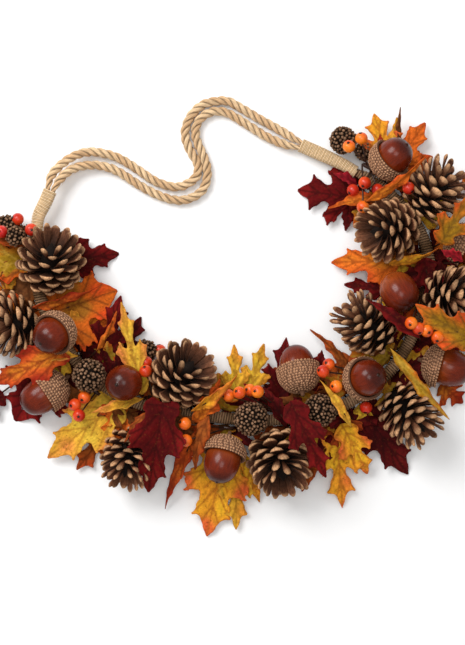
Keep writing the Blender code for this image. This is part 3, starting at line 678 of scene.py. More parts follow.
@dataclass(frozen=True)
class Whipping:
    """Fine twine wound round the two ropes at one end and the core at the other."""

    node: str
    route: tuple[Point, ...]
    mouth_radius: float = 3.6
    core_radius: float = 5.3
    half_flat: float = 2.55
    twine: float = 0.62
    step: float = 0.5
    sleeve_inset: float = 0.5

    def build(self) -> None:
        """Wind the twine over a sleeve painted dark as the shade between its turns."""
        line = smooth_route(self.route, self.step)
        _, side, up = frames_along(line)
        share = np.clip((np.linspace(0, 1, len(line)) - 0.35) / 0.5, 0, 1)
        radius = self.mouth_radius * (1 - share) + self.core_radius * share
        flat = self.half_flat * (1 - share)
        shape = Shape()
        dark, pale = linear((0.40, 0.29, 0.18)), linear((0.90, 0.80, 0.65))
        around = 24
        turn = TURN * (np.arange(around) + 0.5) / around
        rows = np.arange(0, len(line), 4)
        sleeve = radius - self.sleeve_inset
        places = [line[i] + side[i] * (np.sign(np.cos(a)) * flat[i] + sleeve[i] * np.cos(a))
                  + up[i] * sleeve[i] * np.sin(a) for i in rows for a in turn]
        # The sleeve is painted dark brown as painted shade in the gaps between the twine's turns.
        shape.add(np.array(places), grid_faces(len(rows), around), dark)
        turns = length_of(line) / (self.twine * 2.1)
        angle = np.linspace(0, TURN * turns, int(turns * 26))
        at = np.linspace(0.3, len(line) - 1.3, len(angle))
        i = at.astype(int)
        ease = np.tanh(np.cos(angle) * 4)
        coil = wound(line, at, ease * flat[i] + radius[i] * np.cos(angle),
                     radius[i] * np.sin(angle))
        colour = blend(linear((0.80, 0.67, 0.50)), pale, 0.5 + 0.5 * np.sin(angle / 1.7))
        add_tube(shape, coil, np.full(len(coil), self.twine), 5, colour)
        shape.piece(self.node + "_twine", TWINE, "whipping", [self.node])


@dataclass(frozen=True)
class Core:
    """The twine-wound core that carries the garland."""

    radius: float = 5.0
    end_radius: float = 3.2
    twine: float = 1.15
    pitch: float = 2.4
    step: float = 1.9
    look_back: int = 16
    run_on: float = 5.0
    squeezed: tuple[float, float] = (14, 20)
    sleeve_inset: float = 0.4

    def build(self) -> None:
        """Wind the core and dress its steel wire."""
        line = smooth_route(CORE_ROUTE, self.step)
        onward = unit(line[0] - line[self.look_back])
        line = spaced(np.vstack([line[0] + onward * self.run_on, line]), self.step)
        run = even_run(line)
        near = np.minimum(run, run[-1] - run)
        girth = self.end_radius + (self.radius - self.end_radius) * smooth_step(*self.squeezed, near)
        shape = Shape()
        # The sleeve under the twine is painted dark brown as painted shade in the gaps between the
        # turns.
        add_tube(shape, line[::4], girth[::4] - self.sleeve_inset, 12, linear((0.20, 0.14, 0.10)))
        turns = run[-1] / self.pitch
        angle = np.linspace(0, TURN * turns, int(turns * 14))
        at = np.linspace(0.2, len(line) - 1.2, len(angle))
        wide = girth[at.astype(int)]
        coil = wound(line, at, wide * np.cos(angle), wide * np.sin(angle))
        colour = blend(linear((0.44, 0.33, 0.23)), linear((0.63, 0.50, 0.38)),
                       0.5 + 0.5 * np.sin(angle / 11.0))
        add_tube(shape, coil, np.full(len(coil), self.twine), 4, colour)
        shape.piece("core_winding", CORE_TWINE, "core_wrap", ["core_wrap"])
        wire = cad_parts["core_wire"]
        wire.data.materials.clear()
        wire.data.materials.append(STEEL.build())


# ---------------------------------------------------------------- cones, acorns, pods
# The section of a cone scale: shares of its width across and of its thickness over.
ACROSS = np.array([-0.5, -0.36, 0.0, 0.36, 0.5, 0.36, 0.0, -0.36])
OVER = np.array([0.0, 0.30, 0.42, 0.30, 0.0, -0.40, -0.72, -0.40])
CONE_DEPTH_SHADE = (0.10, 0.07, 0.055)  # painted shade of a cone's depths


@dataclass(frozen=True)
class PineCone:
    """An open pine cone: a spindle painted near-black as shade, set with curved woody scales."""

    node: str
    aim: Aim
    radius: float
    length: float
    scales: int = 68
    steps: tuple[float, ...] = (0.0, 0.35, 0.62, 0.82, 0.92, 1.0)
    widths: tuple[float, ...] = (0.30, 0.48, 0.76, 1.0, 0.93, 0.46)
    depths: tuple[float, ...] = (0.40, 0.40, 0.46, 0.72, 1.0, 0.55)

    def envelope(self, height: float) -> float:
        """Radius over the scale tips at a height, as a share of the length."""
        heights = (-0.46, -0.37, -0.24, -0.08, 0.08, 0.25, 0.38, 0.53)
        shares = (0.50, 0.76, 0.96, 1.06, 1.04, 0.95, 0.80, 0.42)
        return self.radius * float(np.interp(height, heights, shares))

    def build(self) -> None:
        """Grow the scales and set the cone in its place."""
        rng = random.Random(self.node)
        shape = Shape()
        turn, centre = self.aim.turn(), self.aim.centre(self.node, 0.53 * self.length)
        heights = np.linspace(-0.44, 0.12, 10)
        spindle = [(self.envelope(h) * (0.28 - 0.3 * h), h) for h in heights]
        spindle = [(0.0, -0.45), *spindle, (0.0, 0.34)]
        profile = np.array([(r, h * self.length) for r, h in spindle])
        places, faces = turned(profile, 14)
        # The spindle is painted near-black, the painted shade deep inside the cone.
        shape.add(places @ turn.T + centre, faces, linear(CONE_DEPTH_SHADE))
        for i in range(self.scales):
            self.add_scale(shape, i, rng, turn, centre)
        shape.piece(self.node + "_scales", WOOD_SCALE, "pine_cone", [self.node])

    def add_scale(self, shape: Shape, which: int, rng: random.Random, turn: np.ndarray,
                  centre: np.ndarray) -> None:
        """Add one scale: narrow at the spindle, broad and thick at its lip.

        Args:
            shape: Shape to add to.
            which: Number of the scale from the base up.
            rng: Source of its small differences.
            turn: Rotation of the cone.
            centre: Centre of the cone.
        """
        share = (which + 0.5) / self.scales
        height = -0.44 + 0.93 * share ** 0.95
        reach = self.envelope(height) * rng.uniform(0.90, 1.04)
        rise = math.radians(2 + 58 * share ** 1.8 + rng.uniform(-8, 8))
        span = reach / math.cos(rise)
        start = np.array([0.06 * self.radius, height * self.length - reach * math.tan(rise)])
        end = np.array([reach, height * self.length])
        middle = (start + end) / 2 + np.array([0.05, -0.12]) * span
        wide = self.radius * (0.19 + 0.27 * math.sin(math.pi * min(1.0, share * 0.85 + 0.15)))
        thick = 3.6 if share < 0.7 else 3.0
        azimuth = which * GOLDEN_ANGLE + rng.uniform(-0.10, 0.10)
        out = np.array([math.cos(azimuth), math.sin(azimuth), 0.0])
        side = np.array([-out[1], out[0], 0.0])
        rings, paints = [], []
        lip = linear((0.77, 0.59, 0.43)) * rng.uniform(0.55, 1.2)
        bark = linear((0.42, 0.26, 0.18)) * rng.uniform(0.55, 1.25)
        deep_shade, points = linear(CONE_DEPTH_SHADE), len(ACROSS)
        for s, w, d in zip(self.steps, self.widths, self.depths):
            at = (1 - s) ** 2 * start + 2 * s * (1 - s) * middle + s * s * end
            slope = unit(2 * (1 - s) * (middle - start) + 2 * s * (end - middle))
            up = UP * slope[0] - out * slope[1]
            cup = 0.12 * w * wide * (np.abs(ACROSS * 2) ** 2 - 0.5)
            rings.append(out * at[0] + UP * at[1] + side * (ACROSS * w * wide)[:, None]
                         + up * (OVER * thick * d + cup)[:, None])
            # Each face fades from the near-black painted shade near the spindle to the bark's own brown.
            # The upper face, which lies under the next scale, keeps the shade farther out. The pale lip
            # is the scale's own colour.
            above = smooth_step(-0.1, 0.25, OVER)[:, None]
            top = blend(deep_shade, bark, np.full(points, smooth_step(0.40, 0.90, s)))
            top = top + (lip - top) * float(smooth_step(0.91, 1.06, s))
            under = blend(deep_shade, bark, np.full(points, smooth_step(0.05, 0.6, s)))
            under = under + (lip - under) * 0.9 * float(smooth_step(0.76, 0.98, s))
            paints.append(under * (1 - above) + top * above)
        tip = out * end[0] + UP * end[1] + (out * math.cos(rise) + UP * math.sin(rise)) * 0.8
        places = np.vstack(rings + [tip])
        paint = np.vstack(paints + [lip])
        faces = pointed_faces(len(rings), points)
        local = np.column_stack([places @ side, places @ out * 0.18, places[:, 2] * 0.5])
        shape.add(places @ turn.T + centre, faces, paint, local + which * 7.3)


@dataclass(frozen=True)
class Acorn:
    """A glossy acorn, with a scaly cup on most."""

    key: str
    aim: Aim
    radius: float
    half: float
    capped: bool = True
    lip: float = -0.08
    row_gap: float = 2.6
    scale_gap: float = 3.0

    def build(self) -> None:
        """Make the nut and its cup."""
        node = "acorn_nut_" + self.key
        turn, centre = self.aim.turn(), self.aim.centre(node, self.half + 1.2)
        self.nut(node, turn, centre)
        if self.capped:
            self.cup("acorn_cap_" + self.key, turn, centre)

    def nut(self, node: str, turn: np.ndarray, centre: np.ndarray) -> None:
        """Make the nut: round sides, a flat seat and a small dark point.

        Args:
            node: CAD node that it stands for.
            turn: Rotation of the acorn.
            centre: Its centre.
        """
        angle = np.linspace(-math.pi / 2 + 0.12, math.pi / 2 - 0.10, 26)
        rows = np.column_stack([self.radius * np.cos(angle) ** 0.86, self.half * np.sin(angle)])
        nib = np.array([(1.5, self.half + 0.25), (0.8, self.half + 0.9), (0.0, self.half + 1.3)])
        profile = np.vstack([[0.0, -self.half], rows, nib])
        places, faces = turned(profile, 40)
        height = places[:, 2] / self.half
        paint = blend(linear((0.55, 0.25, 0.09)), linear((0.40, 0.12, 0.035)),
                      smooth_step(-0.7, 0.35, height))
        paint = paint + (linear((0.25, 0.07, 0.03)) - paint) * smooth_step(0.55, 1.0, height)[:, None]
        paint[height > 1.005] = linear((0.16, 0.08, 0.05))
        grain = places * np.array([1.0, 1.0, 0.16]) + len(self.key) * 11 + self.radius * 3
        shape = Shape()
        shape.add(places @ turn.T + centre, faces, paint, grain)
        shape.piece(node + "_shell", CHESTNUT, "acorn_nut", [node])

    def cup_line(self) -> np.ndarray:
        """Radius and height pairs up the outside of the cup, evenly spaced."""
        r, h = self.radius, self.half
        lip = self.lip * h
        corners = np.array([(3.2, -1.24 * h, 0), (0.40 * r, -1.19 * h, 0), (0.78 * r, -1.04 * h, 0),
                            (1.04 * r, -0.77 * h + 0.1 * lip, 0),
                            (1.17 * r, -0.5 * h + 0.5 * lip, 0), (1.20 * r, lip, 0)])
        return smooth_route([tuple(c) for c in corners], 1.0)[:, :2]

    def cup(self, node: str, turn: np.ndarray, centre: np.ndarray) -> None:
        """Make the cup: a lined bowl under rows of small raised scales, and its stalk.

        Args:
            node: CAD node that it stands for.
            turn: Rotation of the acorn.
            centre: Centre of its nut.
        """
        r, h = self.radius, self.half
        line = self.cup_line()
        top = self.lip * h
        inside = [(1.15 * r, top + 0.7), (1.06 * r, top + 0.3), (1.02 * r, top - 0.2 * h),
                  (0.90 * r, -0.68 * h), (0.55 * r, -0.96 * h), (0.0, -1.00 * h)]
        profile = np.vstack([[(0.0, -1.46 * h), (1.7, -1.45 * h), (2.1, -1.32 * h)], line, inside])
        places, faces = turned(profile, 48)
        shape = Shape()
        shape.add(places @ turn.T + centre, faces, linear((0.40, 0.28, 0.21)))
        run = np.linspace(0, 1, len(line))
        rows = int(len(line) / self.row_gap)
        rng = random.Random(node)
        for row in range(rows):
            at = (row + 0.6) / (rows - 0.2)
            here, ahead = point_along(line, run, at), point_along(line, run, min(1, at + 0.04))
            radius, height = float(here[0]), float(here[1])
            slope = unit(ahead - here + 1e-6)
            count = max(8, round(TURN * radius / self.scale_gap))
            for k in range(count):
                azimuth = TURN * (k + 0.5 * (row % 2) + rng.uniform(-0.22, 0.22)) / count
                self.add_cup_scale(shape, azimuth, radius, height, slope, rng, turn, centre)
        shape.piece(node + "_cup", CUP, "acorn_cap", [node])

    @staticmethod
    def add_cup_scale(shape: Shape, azimuth: float, radius: float, height: float,
                      slope: np.ndarray, rng: random.Random, turn: np.ndarray,
                      centre: np.ndarray) -> None:
        """Add one low pointed scale to the cup.

        Args:
            shape: Shape to add to.
            azimuth: Where it sits around the cup.
            radius: Radius there.
            height: Height there.
            slope: Way up the cup's outside, as radius and height.
            rng: Source of its small differences.
            turn: Rotation of the acorn.
            centre: Centre of its nut.
        """
        out = np.array([math.cos(azimuth), math.sin(azimuth), 0.0])
        side = np.array([-out[1], out[0], 0.0])
        along = out * slope[0] + UP * slope[1]
        away = out * slope[1] - UP * slope[0]
        foot = out * radius + UP * height
        half, reach = 1.65, 1.9
        lift = rng.uniform(0.4, 0.8)
        places = np.array([foot - along * reach - away * 0.3, foot + side * half - away * 0.2,
                           foot + along * reach * 0.8 + away * 0.15, foot - side * half - away * 0.2,
                           foot + along * 0.5 + away * lift])
        faces = [(0, 1, 4), (1, 2, 4), (2, 3, 4), (3, 0, 4), (0, 3, 2, 1)]
        low = linear((0.52, 0.37, 0.27))
        paint = np.vstack([low, low * 1.3, linear((0.80, 0.62, 0.48)), low * 1.3,
                           linear((0.70, 0.52, 0.39)) * rng.uniform(0.7, 1.2)])
        shape.add(places @ turn.T + centre, faces, paint, crisp=True)


@dataclass(frozen=True)
class SeedPod:
    """A round, knobbly seed pod."""

    node: str
    radius: float
    knob: float = 3.7
    skin: float = 1.5

    def build(self) -> None:
        """Set rows of knobs over a ball painted near-black as the shade between them."""
        aim = Aim(30, 70)
        centre = aim.centre(self.node, self.radius)
        ball = self.radius - self.skin
        angle = np.linspace(-math.pi / 2, math.pi / 2, 18)
        profile = np.column_stack([ball * np.cos(angle), ball * np.sin(angle)])
        places, faces = turned(profile, 28)
        shape = Shape()
        # The ball is painted near-black as painted shade in the gaps between the knobs.
        shape.add(places + centre, faces, linear((0.08, 0.055, 0.04)))
        rng, sides = random.Random(self.node), 6
        count = int(4 * math.pi * ball * ball / (self.knob ** 2 * 0.86))
        for i in range(count):
            z = 1 - 2 * (i + 0.5) / count
            flat = math.sqrt(1 - z * z)
            away = np.array([flat * math.cos(i * GOLDEN_ANGLE), flat * math.sin(i * GOLDEN_ANGLE), z])
            away = unit(away + np.array([rng.uniform(-0.06, 0.06) for _ in range(3)]))
            side = unit(np.cross(away, UP + 0.01))
            other = np.cross(away, side)
            spin, size = rng.uniform(0, 6.3), self.knob * rng.uniform(0.42, 0.57)
            ring = [away * (ball - 0.2) + size * (side * math.cos(spin + a) * rng.uniform(0.75, 1.1)
                                                  + other * math.sin(spin + a))
                    for a in TURN * np.arange(sides) / sides]
            top = away * (ball + rng.uniform(1.3, 2.6))
            crown = [top + (p - away * (ball - 0.2)) * 0.8 - away * 0.7 for p in ring]
            places = np.vstack(ring + crown + [top])
            faces = pointed_faces(2, sides)
            # Each knob is painted near-black at its foot as painted shade, brown above it, and lightest
            # at its tip as a painted highlight. The tint is each knob's own tone.
            tint = rng.uniform(0.5, 1.6)
            paint = np.vstack([np.tile(linear((0.07, 0.045, 0.03)), (sides, 1)),
                               np.tile(linear((0.40, 0.29, 0.21)) * tint, (sides, 1)),
                               linear((0.54, 0.43, 0.34)) * tint])
            shape.add(places + centre, faces, paint)
        shape.piece(self.node + "_burr", BURR, "seed_pod", [self.node])


# ---------------------------------------------------------------- stems along the core
class CoreLine:
    """The core's centre line, for fixing stems beside it."""

    def __init__(self) -> None:
        """Lay out the line."""
        self.line = smooth_route(CORE_ROUTE, 4)
        self.run = even_run(self.line)

    def beside(self, along: float, side: float, rise: float) -> np.ndarray:
        """Find a point beside the core.

        Args:
            along: Distance along the core.
            side: Distance outwards from its centre line.
            rise: Height.

        Returns:
            The point.
        """
        at = point_along(self.line, self.run, along)
        out = self.outward(along)
        return np.array([at[0], at[1], rise]) + out * side

    def tangent(self, along: float) -> np.ndarray:
        """Direction of the core at a distance along it."""
        behind, ahead = (point_along(self.line, self.run, along + step) for step in (-3, 3))
        return unit(ahead - behind)

    def outward(self, along: float) -> np.ndarray:
        """Level direction out of the U at a distance along the core."""
        t = self.tangent(along)
        return unit(np.array([t[1], -t[0], 0.0]))

    def nearest(self, place: np.ndarray) -> float:
        """Distance along the core of the point nearest to a place, seen from above."""
        gaps = np.linalg.norm(self.line[:, :2] - place[:2], axis=1)
        return float(self.run[gaps.argmin()])


CORE_LINE = CoreLine()
STEM_BROWN = linear((0.22, 0.13, 0.09))
STEM_RADIUS = 0.8
SPINE_RADIUS = 1.5
SPINE_HEIGHT = 7.2


@dataclass(frozen=True)
class BerrySpray:
    """Glossy berries on wire stems that meet beside the core."""

    node: str
    hub: tuple[float, float, float]
    berries: tuple[Point, ...]
    ripeness: tuple[float, ...]
    radius: float = 6.0
    binding_radius: float = 1.9

    def build(self) -> None:
        """Make the stems, then a berry with its dark crown on each."""
        shape, rng = Shape(), random.Random(self.node)
        hub = CORE_LINE.beside(*self.hub)
        tangent = CORE_LINE.tangent(self.hub[0])
        spine = np.array([hub - tangent * 7, hub, hub + tangent * 7])
        add_tube(shape, spine, np.full(3, self.binding_radius), 8, STEM_BROWN)
        for k, berry in enumerate(self.berries):
            end = np.array(berry, float)
            foot = hub + tangent * (2.5 * (k - (len(self.berries) - 1) / 2))
            route = smooth_route([tuple(end), tuple((end + foot) / 2 + UP * 2), tuple(foot)], 3)
            add_tube(shape, route, np.full(len(route), STEM_RADIUS), 6, STEM_BROWN)
            self.add_berry(shape, end, unit(end - foot), self.ripeness[k], rng)
        shape.piece(self.node + "_fruit", LACQUER, "berry", [self.node])

    def add_berry(self, shape: Shape, place: np.ndarray, away: np.ndarray, red: float,
                  rng: random.Random) -> None:
        """Add one berry: a ball with a dimple and a dark crown.

        Args:
            shape: Shape to add to.
            place: Its centre.
            away: Direction from its stem.
            red: How ripe it is, from 0, orange, to 1, red.
            rng: Source of its small differences.
        """
        away = unit(away + np.array([rng.uniform(-0.5, 0.5), rng.uniform(-0.5, 0.5),
                                     rng.uniform(0.0, 0.7)]))
        tilt = math.degrees(math.asin(float(np.clip(away[2], -1, 1))))
        turn = Aim(math.degrees(math.atan2(away[1], away[0])), tilt).turn()
        angle = np.linspace(-math.pi / 2, math.pi / 2, 18)
        profile = np.column_stack([self.radius * np.cos(angle), self.radius * np.sin(angle) * 0.97])
        profile[-3:, 1] -= np.array([0.1, 0.5, 0.9])
        places, faces = turned(profile, 26)
        height = places[:, 2] / self.radius
        deep = blend(linear((0.88, 0.33, 0.06)), linear((0.70, 0.08, 0.06)), np.array(red))
        warm = blend(linear((0.97, 0.55, 0.12)), linear((0.86, 0.20, 0.09)), np.array(red))
        blush = 0.5 + 0.5 * np.sin(np.arctan2(places[:, 1], places[:, 0]) + rng.uniform(0, 6))
        paint = blend(deep, warm, smooth_step(0.0, 1.0, 0.6 * blush + 0.3 - 0.3 * height))
        shape.add(places @ turn.T + place, faces, paint, places + red * 50)
        crown, points = [(0.0, 0.0, self.radius * 0.88)], 10
        for k in range(points):
            reach = 1.9 if k % 2 else 0.8
            a = TURN * k / points
            crown.append((reach * math.cos(a), reach * math.sin(a), self.radius * 0.97))
        top = np.array(crown)
        both = np.vstack([top, top - np.array([0, 0, 0.7])])
        under = len(top)
        pairs = [(1 + k, 1 + (k + 1) % points) for k in range(points)]
        faces = [(0, a, b) for a, b in pairs]
        faces += [(under, under + b, under + a) for a, b in pairs]
        faces += [(b, a, under + a, under + b) for a, b in pairs]
        shape.add(both @ turn.T + place, faces, linear((0.13, 0.07, 0.04)))


# ---------------------------------------------------------------- leaves
@dataclass(frozen=True)
class Palette:
    """Colours of a leaf from its heart to its lobe tips, and its veins."""

    heart: Colour
    middle: Colour
    tips: Colour
    vein: Colour


class Hue(Enum):
    """The leaf colours of the garland."""

    GOLD = Palette((0.84, 0.68, 0.20), (0.88, 0.66, 0.20), (0.85, 0.54, 0.18), (0.62, 0.42, 0.12))
    YELLOW = Palette((0.88, 0.72, 0.24), (0.90, 0.68, 0.22), (0.90, 0.53, 0.27), (0.68, 0.46, 0.15))
    SUNSET = Palette((0.88, 0.66, 0.16), (0.90, 0.60, 0.16), (0.88, 0.40, 0.20), (0.64, 0.36, 0.11))
    OLIVE = Palette((0.60, 0.46, 0.10), (0.70, 0.46, 0.12), (0.76, 0.35, 0.11), (0.74, 0.58, 0.22))
    BRONZE = Palette((0.62, 0.45, 0.11), (0.73, 0.43, 0.12), (0.84, 0.33, 0.13), (0.45, 0.32, 0.11))
    AMBER = Palette((0.63, 0.39, 0.12), (0.76, 0.36, 0.10), (0.82, 0.28, 0.11), (0.43, 0.22, 0.08))
    ORANGE = Palette((0.86, 0.50, 0.15), (0.85, 0.41, 0.13), (0.80, 0.30, 0.12), (0.58, 0.26, 0.08))
    RUST = Palette((0.62, 0.33, 0.13), (0.64, 0.30, 0.11), (0.68, 0.27, 0.11), (0.40, 0.18, 0.07))
    SCARLET = Palette((0.76, 0.43, 0.13), (0.75, 0.31, 0.12), (0.60, 0.16, 0.09), (0.48, 0.16, 0.07))
    WINE = Palette((0.28, 0.04, 0.045), (0.36, 0.05, 0.055), (0.48, 0.09, 0.085), (0.20, 0.03, 0.03))
    DARK_WINE = Palette((0.23, 0.035, 0.04), (0.29, 0.045, 0.05), (0.39, 0.08, 0.08), (0.16, 0.03, 0.03))
    CRIMSON = Palette((0.50, 0.08, 0.13), (0.60, 0.11, 0.15), (0.68, 0.15, 0.18), (0.36, 0.05, 0.08))
    BROWN = Palette((0.42, 0.25, 0.13), (0.48, 0.27, 0.12), (0.55, 0.29, 0.13), (0.28, 0.15, 0.07))


BED_HUES = (Hue.WINE, Hue.DARK_WINE, Hue.RUST, Hue.OLIVE, Hue.DARK_WINE, Hue.AMBER, Hue.BROWN,
            Hue.ORANGE, Hue.GOLD)


@dataclass(frozen=True)
class Outline:
    """Half of a leaf's edge and its veins, as across and along shares of the blade."""

    edge: tuple[tuple[float, float], ...]
    veins: tuple[tuple[tuple[float, float], ...], ...]


class Cut(Enum):
    """The dies that the leaves are cut with."""

    MAPLE = Outline(
        ((0.0, 0.0), (0.10, 0.0), (0.21, -0.03), (0.32, 0.0), (0.35, 0.08), (0.29, 0.15),
         (0.33, 0.22), (0.43, 0.24), (0.55, 0.32), (0.49, 0.40), (0.49, 0.52), (0.37, 0.49),
         (0.25, 0.49), (0.21, 0.56), (0.26, 0.64), (0.32, 0.78), (0.21, 0.76), (0.14, 0.84),
         (0.09, 0.92), (0.0, 1.02)),
        (((0, 0), (0, 0.97)), ((0, 0.03), (0.29, 0.04)), ((0, 0.08), (0.27, 0.26), (0.50, 0.34)),
         ((0.18, 0.20), (0.44, 0.48)), ((0, 0.42), (0.16, 0.62), (0.29, 0.74)),
         ((0, 0.62), (0.12, 0.82)), ((0, 0.25), (0.17, 0.44))),
    )
    LOBED = Outline(
        ((0.0, 0.0), (0.07, 0.02), (0.17, 0.03), (0.27, 0.09), (0.37, 0.15), (0.31, 0.22),
         (0.23, 0.25), (0.30, 0.33), (0.42, 0.37), (0.53, 0.50), (0.43, 0.51), (0.36, 0.60),
         (0.27, 0.53), (0.15, 0.50), (0.13, 0.58), (0.20, 0.66), (0.31, 0.80), (0.20, 0.80),
         (0.12, 0.83), (0.08, 0.92), (0.0, 1.02)),
        (((0, 0), (0, 0.97)), ((0, 0.06), (0.32, 0.15)), ((0, 0.16), (0.24, 0.36), (0.48, 0.48)),
         ((0.22, 0.34), (0.34, 0.54)), ((0, 0.46), (0.16, 0.64), (0.27, 0.77)),
         ((0, 0.66), (0.10, 0.84)), ((0, 0.30), (0.10, 0.44))),
    )
    SLIVER = Outline(
        ((0.0, 0.0), (0.08, 0.05), (0.20, 0.12), (0.33, 0.18), (0.40, 0.27), (0.48, 0.36),
         (0.35, 0.41), (0.37, 0.50), (0.42, 0.57), (0.30, 0.64), (0.20, 0.69), (0.22, 0.78),
         (0.11, 0.84), (0.08, 0.92), (0.0, 1.01)),
        (((0, 0), (0, 0.97)), ((0, 0.14), (0.36, 0.34)), ((0, 0.34), (0.32, 0.56)),
         ((0, 0.56), (0.16, 0.74))),
    )


CLOTH_THICKNESS = 0.45
LOWEST_BLADE = 0.35
FILL_STEP = 1.9             # spacing of the points inside a blade
EDGE_STEP = 2.2             # and along its edge
VEIN_STEP = 1.3             # and along its veins


@dataclass(frozen=True)
class Leaf:
    """One fabric leaf: cut, base and tip of its blade, width, roll, bow and colours."""

    cut: Cut
    base: Point
    tip: Point
    width: float
    roll: float
    bow: float
    hue: Hue

    def length(self) -> float:
        """Length of the blade from base to tip."""
        return float(np.linalg.norm(np.subtract(self.tip, self.base)))

    def surface(self, u: np.ndarray, v: np.ndarray, curl: float = 0.0) -> np.ndarray:
        """Place points on the bowed and folded blade.

        Args:
            u: Shares across, negative on the left.
            v: Shares along.
            curl: Extra height at the lobe tips.

        Returns:
            The points, n by 3.
        """
        base, chord = np.asarray(self.base, float), np.subtract(self.tip, self.base).astype(float)
        along = unit(chord)
        side = unit(np.cross(along, UP))
        side = np.array(Matrix.Rotation(math.radians(self.roll), 3, Vector(along)) @ Vector(side))
        up = np.cross(side, along)
        lift = self.bow * 4 * v * (1 - v) + 0.16 * np.abs(u) * self.width
        lift = lift + curl * (np.abs(u) * 2) ** 3 + curl * 0.6 * np.clip(v, 0, 1.1) ** 6
        return (base + v[:, None] * chord + (u * self.width)[:, None] * side + lift[:, None] * up)

    def edge_points(self, rng: random.Random) -> list[tuple[float, float]]:
        """Trace the toothed edge in millimetres on the flat cloth.

        Args:
            rng: Source of the small differences between leaves.

        Returns:
            Points round the blade, anticlockwise.
        """
        half, long = self.cut.value.edge, self.length()
        both = []
        for sign, part in ((1, half), (-1, tuple(reversed(half[1:-1])))):
            for u, v in part:
                jig = 0.0 if u == 0 else rng.uniform(-0.014, 0.014)
                both.append((sign * max(0.012 if u else 0.0, u + jig) * self.width,
                             (v + (0.0 if u == 0 else rng.uniform(-0.012, 0.012))) * long))
        out, soft = [], []
        for a, b in zip(both, both[1:] + both[:1]):
            share = min(0.3, 1.6 / max(math.dist(a, b), 1.0))
            soft.append(tuple(p + (q - p) * share for p, q in zip(a, b)))
            soft.append(tuple(q + (p - q) * share for p, q in zip(a, b)))
        for a, b in zip(soft, soft[1:] + soft[:1]):
            gap = math.dist(a, b)
            steps = max(1, round(gap / EDGE_STEP))
            for k in range(steps):
                t = k / steps
                sag = 1 - 0.09 * math.sin(math.pi * t) * min(1.0, gap / 6)
                out.append(((a[0] + (b[0] - a[0]) * t) * sag, a[1] + (b[1] - a[1]) * t))
        return out

    def vein_lines(self) -> list[np.ndarray]:
        """Veins of both halves in millimetres on the flat cloth."""
        scale = np.array([self.width, self.length()])
        out = []
        for vein in self.cut.value.veins:
            line = np.array(vein, float)
            out.append(line * scale)
            if line[:, 0].any():
                out.append(line * scale * np.array([-1, 1]))
        return out

    def add_to(self, shape: Shape, seed: int) -> None:
        """Cut, vein, crease, curl and paint the blade as a thin closed sheet.

        Args:
            shape: Shape to add to.
            seed: Number that sets the small differences.
        """
        rng = random.Random(seed)
        edge = self.edge_points(rng)
        veins = self.vein_lines()
        marks = np.vstack([spaced(np.column_stack([v, np.zeros(len(v))]), VEIN_STEP)[:, :2]
                           for v in veins])
        low, high = np.min(edge, axis=0), np.max(edge, axis=0)
        fill = np.array([(x + (FILL_STEP / 2 if row % 2 else 0), y)
                         for row, y in enumerate(np.arange(low[1] + 1, high[1], FILL_STEP * 0.87))
                         for x in np.arange(low[0] + 1, high[0], FILL_STEP)])
        gap = np.min(np.linalg.norm(fill[:, None] - marks[None], axis=2), axis=1)
        rim = np.min(np.linalg.norm(fill[:, None] - np.array(edge)[None], axis=2), axis=1)
        fill = fill[(gap > 1.0) & (rim > 0.9)]
        flat = [Vector(p) for p in edge] + [Vector(p) for p in marks] + [Vector(p) for p in fill]
        found = geometry.delaunay_2d_cdt(flat, [], [list(range(len(edge)))], 1, 1e-4)
        at = np.array([tuple(p) for p in found[0]])
        faces = [tuple(f) for f in found[2]]
        places, paint = self.shaped(at, np.array(edge), veins, rng)
        self.close(shape, at, places, paint, faces, seed)

    def shaped(self, at: np.ndarray, edge: np.ndarray, veins: list[np.ndarray],
               rng: random.Random) -> tuple[np.ndarray, np.ndarray]:
        """Bend the flat cloth into its pressed shape and colour it.

        Args:
            at: Points on the flat cloth.
            edge: Its edge.
            veins: Its veins.
            rng: Source of the small differences.

        Returns:
            Places in the wreath and colours.
        """
        near_vein = segment_gap(at, veins)
        near_edge = segment_gap(at, [np.vstack([edge, edge[:1]])])
        u, v = at[:, 0] / self.width, at[:, 1] / self.length()
        curl = rng.uniform(-4.0, 5.0)
        places = self.surface(u, v, curl)
        normal = self.surface(u, v + 0.01, curl) - places
        normal = unit(np.cross(self.surface(u + 0.01, v, curl) - places, normal))
        phase = rng.uniform(0, 6.3)
        outer = smooth_step(0.12, 0.5, np.abs(u))
        wave = 1.9 * outer * np.sin(v * 15 + phase + np.sign(u) * 1.3)
        wave = wave + 1.4 * np.sin(u * 7 + v * 6 + phase * 3) * smooth_step(0.05, 0.3, v)
        press = 0.9 * (1 - np.exp(-(near_vein / 3.2) ** 2)) + 0.35 * np.exp(-(near_vein / 0.8) ** 2)
        places = places + normal * (wave + press)[:, None]
        places[:, 2] = np.maximum(places[:, 2], LOWEST_BLADE)
        colours = self.hue.value
        wander = 0.15 * np.sin(at[:, 0] * 0.23 + phase) + 0.15 * np.sin(at[:, 1] * 0.17 + phase * 2)
        spread = np.hypot(u * 1.5, v - 0.30) + wander
        paint = blend(linear(colours.heart), linear(colours.middle), smooth_step(0.08, 0.42, spread))
        paint = paint + (linear(colours.tips) - paint) * smooth_step(0.42, 0.82, spread)[:, None]
        rim = np.exp(-(near_edge / 1.0) ** 2)[:, None] * 0.35
        paint = paint * (1 - rim) + linear(colours.tips) * 0.75 * rim
        line = (np.exp(-(near_vein / 0.75) ** 2) * 0.75)[:, None]
        paint = paint * (1 - line) + linear(colours.vein) * line
        return places, paint * rng.uniform(0.82, 1.04)

